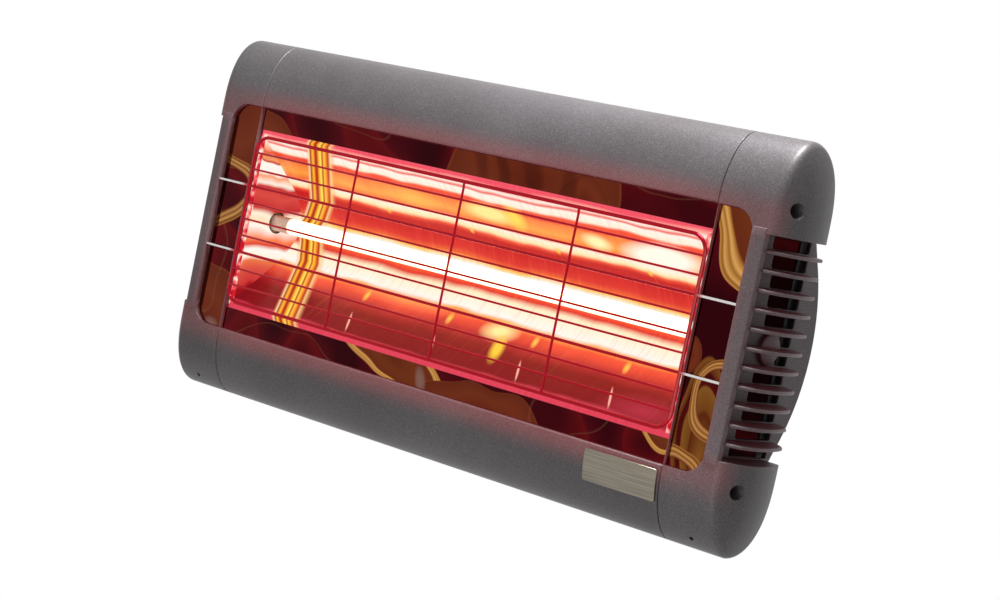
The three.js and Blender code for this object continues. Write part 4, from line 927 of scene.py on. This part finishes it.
def end_cap():
    """The right end cap: two lobes, bar, fins, vent wall with its boss, and the mirror's frame."""
    upper = cut(lobe(), pocket_cutter(), hole_cutter())
    lower = turn_round(cut(lobe(), pocket_cutter(), hole_cutter(), drain_cutter()), z=-1)
    meshes = [upper, lower, bar()]
    for i in range(FINS):
        z = ((FINS - 1) / 2 - i) * FIN_PITCH
        meshes.append(plate(fin_plan(), FIN_THICKNESS, stand(X_AXIS, Y_AXIS, (0, 0, z)), bevel=0.75 * MM))
    boss = [(-1 * MM, 9 * MM), (1.6 * MM, 9 * MM), (2.2 * MM, 8.6 * MM), (2.5 * MM, 7.6 * MM)]
    rim, bite = 3 * MM, 1 * MM
    frame_place = front_view(at((FRAME_BACK - bite) / 2))
    return meshes + [
        vent_wall(), turned(boss, side_view(vent_x, at(BOSS_DEPTH))),
        plate(mirror_opening(cap_inner, rim), FRAME_BACK + bite, frame_place,
              holes=[mirror_opening(cap_inner + 0.5 * MM)], bevel=0.2 * MM)]


top = casing()
piece("casing_top", [top], enamel, "cast_paint", "top_casing")
piece("casing_bottom", [turn_round(top, z=-1)], enamel, "cast_paint", "bottom_casing")
twins(enamel, "cast_paint", ("cap", end_cap(), "end_cap"))


# ---- Mirrors and reflector -----------------------------------------------------------------
MIRROR_THICKNESS = 0.8 * MM
MIRROR_EDGE = 0.6 * MM
mirror_place = front_view(at(1.4 * MM))
strip_low, strip_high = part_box("mirror_top")
strip = plate(rounded(-strip_high.x, strip_high.x, strip_low.z, strip_high.z, MIRROR_EDGE, 3),
              MIRROR_THICKNESS, mirror_place, bevel=0.25 * MM)
side_mirror = plate(mirror_opening(cap_inner, -MIRROR_GAP, MIRROR_EDGE), MIRROR_THICKNESS, mirror_place,
                    bevel=0.3 * MM)
for name, mesh in (("strip_mirror_top", strip), ("strip_mirror_bottom", turn_round(strip, z=-1)),
                   ("side_mirror_right", side_mirror), ("side_mirror_left", turn_round(side_mirror, x=-1))):
    side = name.split("_")[-1]
    piece(name, [mesh], mirror_metals[side], "mirror_steel", f"mirror_{side}")


def trough_half(out):
    """The trough's section from mouth to middle as (depth, height), moved outward."""
    return [(MOUTH_DEPTH + out, MOUTH_HALF + 0.6 * out), (WAIST[0] + 0.6 * out, WAIST[1] + 0.9 * out),
            (BACK_FOLD[0] + out, BACK_FOLD[1] + 0.4 * out), (BACK_DEPTH + out, 0)]


def finer(points, pieces):
    """The same open line with each stretch divided."""
    made = [points[0]]
    for a, b, count in zip(points, points[1:], pieces):
        made += [tuple(p + (q - p) * k / count for p, q in zip(a, b)) for k in range(1, count + 1)]
    return made


def trough():
    """The folded trough sheet with its two lips."""
    half = edge("reflector", HIGH, "x")
    loop = []
    for out, turn in ((0, 1), (SHEET, -1)):
        line = finer([(MOUTH_DEPTH + out, LIP_HEIGHT), *trough_half(out)], [3, 12, 5, 3])
        loop += [*line, *[(y, -z) for y, z in reversed(line[:-1])]][::turn]
    return loft([[(-half + 2 * half * share, at(y), z) for y, z in loop] for share in shares(60)])


def end_sheet():
    """A flat sheet across the trough's end with the lamp's hole, and its folded lip that faces the room."""
    x, hole, lip_width = centre("end_reflector_right", "x"), 7 * MM, 4.4 * MM
    half = trough_half(SHEET)
    outline = [(at(y), -z) for y, z in half] + [(at(y), z) for y, z in reversed(half[:-1])]
    sheet = plate(outline, SHEET, side_view(x), [circle(hole, 32, lamp_y)], bevel=0.1 * MM, steps=0)
    lip_half = MOUTH_HALF - 0.4 * MM
    lip = plate(rounded(x - lip_width, x, -lip_half, lip_half, 0.5 * MM, 2), SHEET,
                front_view(at(MOUTH_DEPTH + SHEET / 2)), bevel=0.3 * MM)
    return [sheet, lip]


piece("trough", [trough()], polished_trough(), "polished_aluminium", "reflector")
twins(lit_end_sheet(), "polished_aluminium", ("end_sheet", end_sheet(), "end_reflector"))


# ---- Guard ---------------------------------------------------------------------------------
GUARD_X = 176.5 * MM
GUARD_Z = 52.7 * MM
GUARD_ROWS = 9
LONG_ROWS = (2, 6)
UPRIGHTS = (-87 * MM, 0, 87 * MM)
GUARD_FRONT = -1.6 * MM
FRAME_DEPTH = -1 * MM
FRAME_WIRE, ROW_WIRE, LONG_WIRE, UPRIGHT_WIRE = 1.1 * MM, 0.65 * MM, 0.9 * MM, 0.75 * MM  # radii


def guard():
    """Spot-welded guard: a frame, nine rows and three uprights; two rows run on into the bars."""
    frame_y, wire_y = at(FRAME_DEPTH), at(GUARD_FRONT)
    frame_loop = [(x, frame_y, z) for x, z in rounded(-GUARD_X, GUARD_X, -GUARD_Z, GUARD_Z, 10 * MM, 10)]
    long_x = edge("guard", HIGH, "x")
    rows, long_rows, uprights = [], [], []
    for i in range(GUARD_ROWS):
        z = GUARD_Z - (i + 1) * 2 * GUARD_Z / (GUARD_ROWS + 1)
        if i in LONG_ROWS:
            long_rows.append([(-long_x, wire_y, z), (long_x, wire_y, z)])
        else:
            bend = [(GUARD_X, frame_y), (GUARD_X - 2 * MM, wire_y)]
            rows.append([(-x, y, z) for x, y in bend] + [(x, y, z) for x, y in reversed(bend)])
    for x in UPRIGHTS:
        bend = [(GUARD_Z, frame_y), (GUARD_Z - 4 * MM, wire_y + FRAME_WIRE)]
        uprights.append([(x, y, -z) for z, y in bend] + [(x, y, z) for z, y in reversed(bend)])
    return [wire([frame_loop], FRAME_WIRE, closed=True), wire(rows, ROW_WIRE), wire(long_rows, LONG_WIRE),
            wire(uprights, UPRIGHT_WIRE)]


piece("wire_guard", guard(), drawn_steel(), "bright_wire", "guard")


# ---- Lamp and contact spring ---------------------------------------------------------------
tube_x = edge("quartz_tube", HIGH, "x")


def helix(start, end, radius, turns, steps):
    """Points of a coil about the lamp's own line."""
    count = turns * steps
    around = circle(radius, steps, lamp_y)
    return [(start + (end - start) * i / count, *around[i % steps]) for i in range(count + 1)]


def tube():
    """The quartz tube, open at its ceramic ends."""
    radius, bore = 5 * MM, 4 * MM
    profile = [(-tube_x, radius), (tube_x, radius), (tube_x, bore), (-tube_x, bore), (-tube_x, radius)]
    return turned(profile, side_view(0, lamp_y), 36, ends=False)


def coil():
    """The wound filament with the rings that hold it in the middle of the tube."""
    rings, pitch = 7, 2 * tube_x / 7.4
    places = [(i - (rings - 1) / 2) * pitch for i in range(rings)]
    loops = [[(x, y, z) for y, z in circle(3.3 * MM, 20, lamp_y)] for x in places]
    return [wire([helix(-tube_x, tube_x, 2 * MM, 120, 10)], 0.45 * MM, sides=1),
            wire(loops, 0.25 * MM, sides=1, closed=True)]


def lamp_end():
    """The square ceramic end of the lamp with eased edges."""
    low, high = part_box("lamp_cap_right")
    return plate(rounded(low.y, high.y, low.z, high.z, 2 * MM, 5), high.x - low.x,
                 side_view(centre("lamp_cap_right", "x")), bevel=0.6 * MM)


def spring():
    """The coil behind the sprung contact, at one length here; on the heater it shortens as the contact is
    pushed back.
    """
    low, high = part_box("contact_spring")
    wire_radius = 0.3 * MM
    path = helix(low.x + wire_radius, high.x - wire_radius, (high.z - low.z) / 2 - wire_radius, 4, 24)
    coiled = wire([path], wire_radius, sides=2)
    made = piece("spring", [coiled], zinc, "zinc_steel", "contact_spring", body=None)
    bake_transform(made)


piece("lamp_tube", [tube()], red_quartz(), "quartz", "quartz_tube", body="lamp")
piece("lamp_coil", coil(), glowing_coil(), "filament", "filament", body="lamp")
twins(ceramic, "ceramic", ("lamp_end", [lamp_end()], "lamp_cap"), body="lamp")
spring()


# ---- Badge ---------------------------------------------------------------------------------
def badge():
    """The bare plate, bent to the lower casing, with rounded corners and eased edges."""
    low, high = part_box("badge_plate")
    near, far = -high.z, -low.z
    corner, ease, gap, thick = 1.6 * MM, 0.25 * MM, 0.3 * MM, 0.9 * MM
    steps = 6

    def face(out, z):
        rise = (z - bulge_z) / (bulge_rise + out)
        return bulge_y - (FRONT_BULGE + out) * math.sqrt(1 - rise ** 2)

    ends = quarter(corner, 5)
    heights = [near + p for p in ends]
    heights += [near + corner + (far - near - 2 * corner) * k / steps for k in range(1, steps)]
    heights += [far - p for p in reversed(ends)]
    rows = []
    for z in heights:
        inward = min(z - near, far - z)
        pull = corner - math.sqrt(max(0, corner ** 2 - max(0, corner - inward) ** 2))
        left, right = low.x + pull, high.x - pull
        shoulder = gap + thick - ease
        outer = shoulder + min(ease, inward)
        rows.append([(x, face(out, z), -z) for x, out in (
            (left, gap), (right, gap), (right, shoulder), (right - ease, outer), (left + ease, outer),
            (left, shoulder))])
    return loft(rows)


piece("bare_badge", [badge()], brushed_badge(), "badge_metal", "badge_plate")


# ---- Rear cover, bracket and small parts ---------------------------------------------------
COVER_ARC = 131 * MM
COVER_DEPTH = 86 * MM
COVER_HALF = 76 * MM
COVER_WALL = 2 * MM
PRESS_RADIUS = 6 * MM
BRACKET_STEEL = 2.5 * MM
EAR_RADIUS = 10 * MM
pivot_y = centre("pivot_bolt_right", "y")


def cover():
    """The pressed rear cover: an arched tray with rounded edges on a flat flange."""
    (_, flange_y, _), (cover_x, _, cover_z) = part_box("rear_cover")
    steps = 24

    def depth(z):
        return at(COVER_DEPTH - COVER_ARC + math.sqrt(COVER_ARC ** 2 - z ** 2))

    def spread(half):
        rim = quarter(PRESS_RADIUS, 6)
        between = [PRESS_RADIUS + (2 * half - 2 * PRESS_RADIUS) * k / steps for k in range(1, steps)]
        return [-half + p for p in rim + between] + [half - p for p in reversed(rim)]

    def fall(x, z):
        inside = min(cover_x - abs(x), COVER_HALF - abs(z))
        short = max(0.0, PRESS_RADIUS - inside)
        return PRESS_RADIUS - math.sqrt(max(0.0, PRESS_RADIUS ** 2 - short ** 2))

    rows = [[(x, depth(z) - fall(x, z), z) for z in spread(COVER_HALF)] for x in spread(cover_x)]
    foot = flange_y + 1 * MM
    walls = []
    for line in (rows[0], [row[-1] for row in rows], rows[-1][::-1], [row[0] for row in reversed(rows)]):
        walls += quads([line, [(x, foot, z) for x, _, z in line]])
    tray = woven(quads(rows) + walls)
    wall = COVER_WALL
    flange = rounded(-cover_x, cover_x, -cover_z, cover_z, 6 * MM)
    hole = rounded(-cover_x + wall, cover_x - wall, -COVER_HALF + wall, COVER_HALF - wall, wall, 2)
    return [tray, plate(flange, wall, front_view(flange_y + wall / 2), holes=[hole])]


def pan_head(node, slot_turn):
    """A slotted pan-head screw in place of a CAD one, its head towards the wall."""
    low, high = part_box(node)
    x, z = centre(node, "x"), centre(node, "z")
    radius, head = (high.x - low.x) / 2, 2.2 * MM
    seat = high.y - head
    profile = [(low.y - seat, radius * 0.5), (0, radius * 0.5), (0, radius), (0.9 * MM, radius),
               (1.6 * MM, radius * 0.86), (2.05 * MM, radius * 0.6), (head, radius * 0.3)]
    groove_half, groove_depth = 0.45 * MM, 0.9 * MM
    groove = plate(rounded(-radius * 1.2, radius * 1.2, -groove_half, groove_half, 0), 2 * MM,
                   Matrix.Translation((x, high.y - groove_depth + 1 * MM, z))
                   @ Matrix.Rotation(slot_turn, 4, "Y") @ front_view(0), bevel=0.01 * MM, steps=0)
    return cut(turned(profile, stand(Z_AXIS, X_AXIS, (x, seat, z)), 28), groove)


def ear(root_y, root_half, straight, inner_x):
    """An ear from a plate at root_y to a round end about the tilt axis, with its bolt hole."""
    outward = 1 if root_y < pivot_y else -1
    arc = []
    for share in shares(16):
        angle = math.pi / 2 - math.pi * share
        arc.append((pivot_y + outward * EAR_RADIUS * math.cos(angle), EAR_RADIUS * math.sin(angle)))
    bend = root_y + outward * straight
    outline = [(root_y, root_half), (bend, root_half), *arc, (bend, -root_half), (root_y, -root_half)]
    return plate(outline, BRACKET_STEEL, side_view(inner_x + BRACKET_STEEL / 2),
                 holes=[circle(3.3 * MM, 24, pivot_y)])


def folded(node, root_y, corner, straight, holes):
    """A flat plate with two ears bent along the heater's sides."""
    _, (half, _, tall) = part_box(node)
    inward = BRACKET_STEEL / 2 if root_y < pivot_y else -BRACKET_STEEL / 2
    arm = ear(root_y, tall, straight, half - BRACKET_STEEL)
    return [plate(rounded(-half, half, -tall, tall, corner), BRACKET_STEEL,
                  front_view(root_y + inward), holes=holes), arm, turn_round(arm, x=-1)]


def wall_bracket():
    """The pressed steel bracket on the wall, with two screw slots."""
    slots = [rounded(x - 7 * MM, x + 7 * MM, -3.2 * MM, 3.2 * MM, 3.19 * MM) for x in (-35 * MM, 35 * MM)]
    return folded("wall_bracket", edge("wall_bracket", HIGH, "y"), 4 * MM, 8 * MM, slots)


def tilt_strap():
    """The steel strap on the rear cover, with its two screw holes."""
    holes = [circle(2.5 * MM, 24, x) for x in (-30 * MM, 30 * MM)]
    return folded("tilt_strap", edge("tilt_strap", LOW, "y"), 2 * MM, 1 * MM, holes)


def pivot_bolt():
    """A hexagon-head bolt along the tilt axis."""
    low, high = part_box("pivot_bolt_right")
    head, radius = 5 * MM, 3 * MM
    shank = [(low.x, radius - 0.5 * MM), (low.x + 0.6 * MM, radius), (high.x - 1 * MM, radius)]
    return [plate(circle(6.5 * MM, 6), head, side_view(high.x - head / 2, pivot_y), bevel=0.7 * MM),
            turned(shank, side_view(0, pivot_y))]


def pivot_nut():
    """Its hexagon nut."""
    low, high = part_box("pivot_nut_right")
    return plate(circle(6 * MM, 6), high.x - low.x, side_view(centre("pivot_nut_right", "x"), pivot_y),
                 holes=[circle(3.1 * MM, 24)])


def gland():
    """The cable gland: thread, hexagon and ribbed dome with an open bore."""
    x, base = centre("cable_gland", "x"), at(COVER_DEPTH)
    hexagon, rib, sides, sixth = 11.2, 0.35, 48, math.pi / 3
    # Distance along and radius in mm, and what stands on it.
    profile = [(-8, 8, ""), (0.2, 8, ""), (0.3, 0, "hexagon"), (5, 0, "hexagon"), (5.2, 10, "ribs"),
               (12.5, 8.4, "ribs"), (14.2, 7.4, ""), (15, 6.2, ""), (15, 4.2, ""), (13, 4, ""), (-8, 4, ""),
               (-8, 8, "")]
    rows = []
    for out, radius, kind in profile:
        row = []
        for i in range(sides):
            angle = 2 * math.pi * i / sides
            reach = radius
            if kind == "hexagon":
                reach = hexagon * math.cos(sixth / 2) / math.cos(angle % sixth - sixth / 2)
            elif kind == "ribs" and i % 4 < 2:
                reach += rib
            row.append((x + reach * MM * math.cos(angle), base + out * MM, reach * MM * math.sin(angle)))
        rows.append(row)
    return loft(rows, ends=False)


piece("back_cover", cover(), enamel, "cast_paint", "rear_cover")
cover_screws = [f"cover_screw_{level}_{i}" for level in ("top", "bottom") for i in (1, 2, 3)]
piece("cover_screws", [pan_head(node, 0.5 + 0.9 * i) for i, node in enumerate(cover_screws)], zinc,
      "zinc_steel", *cover_screws)
strap_screws = ["strap_screw_1", "strap_screw_2"]
piece("strap_screws", [pan_head(node, 0.3 + i) for i, node in enumerate(strap_screws)], zinc, "zinc_steel",
      *strap_screws)
piece("hanging_bracket", wall_bracket(), black_coat, "black_steel", "wall_bracket", body="bracket")
piece("strap", tilt_strap(), black_coat, "black_steel", "tilt_strap")
twins(zinc, "zinc_steel", ("tilt_bolt", pivot_bolt(), "pivot_bolt"), ("tilt_nut", [pivot_nut()], "pivot_nut"),
      body="bracket")
piece("gland", [gland()], nylon, "moulding", "cable_gland")


# ---- Finishes on the CAD nodes that stay ---------------------------------------------------
ENDS = ("right", "left")
kept_finishes = {
    zinc: [f"{name}_{end}" for name in ("end_cap_screw_top", "end_cap_screw_bottom", "holder_bracket",
                                        "lamp_contact") for end in ENDS],
    ceramic: [f"lamp_holder_{end}" for end in ENDS],
    brass: ["fixed_contact", "sprung_contact"],
    nylon: ["terminal_block", "gland_nut"],
    silicone: ["live_wire", "neutral_wire"],
}
for material, names in kept_finishes.items():
    for name in names:
        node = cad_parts[name]
        node.data.materials.clear()
        node.data.materials.append(material)


# ---- Stage ---------------------------------------------------------------------------------
def seen(owner, *kinds):
    """1 for the named kinds of ray, which see the surround as plain white."""
    rays = add(owner, "LightPath").outputs
    share = rays[f"Is {kinds[0]} Ray"]
    for kind in kinds[1:]:
        share = add(owner, "Math", links={0: share, 1: rays[f"Is {kind} Ray"]},
                    operation="MAXIMUM").outputs["Value"]
    return share


def studio():
    """A pale paper floor and a white surround."""
    reach, white, dim = 6, (1, 1, 1, 1), 0.16
    ground = bpy.data.meshes.new("floor")
    ground.from_pydata([(-reach, -reach, 0), (reach, -reach, 0), (reach, reach, 0), (-reach, reach, 0)], [],
                       [(0, 1, 2, 3)])
    floor = linked("floor", ground)
    floor.location.z = -0.5
    paper = bpy.data.materials.new("pale_floor")
    paper.use_nodes = True
    paper.node_tree.nodes.clear()
    matt = add(paper, "BsdfDiffuse", {"Color": colour("#f4f4f2")})
    bright = add(paper, "Emission", {"Color": white, "Strength": 1.0})
    mixed = add(paper, "MixShader", links={0: seen(paper, "Camera", "Glossy"), 1: matt.outputs["BSDF"],
                                           2: bright.outputs["Emission"]})
    add(paper, "OutputMaterial", links={"Surface": mixed.outputs["Shader"]})
    ground.materials.append(paper)

    world = bpy.data.worlds.new("studio")
    bpy.context.scene.world = world
    world.use_nodes = True
    world.node_tree.nodes.clear()
    level = add(world, "MapRange", {"To Min": dim, "To Max": 1.0},
                {"Value": seen(world, "Camera", "Glossy", "Transmission")})
    sky = add(world, "Background", {"Color": white}, {"Strength": level.outputs["Result"]})
    add(world, "OutputWorld", links={"Surface": sky.outputs["Background"]})


def soft_lamp(name, place, target, size, watts):
    """A square area lamp aimed at a point."""
    light = bpy.data.lights.new(name, "AREA")
    light.size = size
    light.energy = watts
    lamp = linked(name, light)
    lamp.location = place
    lamp.rotation_euler = (Vector(target) - Vector(place)).to_track_quat("-Z", "Y").to_euler()


def camera():
    """The photograph's view: 40 degrees to the heater's right, a little above it, rolled clockwise."""
    azimuth, elevation, roll = 40, 3.71, 11.68
    place = Matrix.Translation((0.865, -1.1235, 0.0771))
    for angle, axis in ((azimuth, "Z"), (90 - elevation, "X"), (roll, "Z")):
        place = place @ Matrix.Rotation(math.radians(angle), 4, axis)
    data = bpy.data.cameras.new("view")
    data.lens = 81.14
    data.sensor_width = 36
    data.shift_x = -0.0025
    data.shift_y = -0.0044
    view = linked("view", data)
    view.matrix_world = place
    bpy.context.scene.camera = view


studio()
soft_lamp("key", (0.14, -0.24, 0.7), (0.12, -0.1, 0), 0.26, 19)
soft_lamp("low", (0.1, -0.9, -0.42), (0, -0.1, 0), 0.5, 2.5)
camera()
bpy.context.scene.view_settings.view_transform = "Standard"
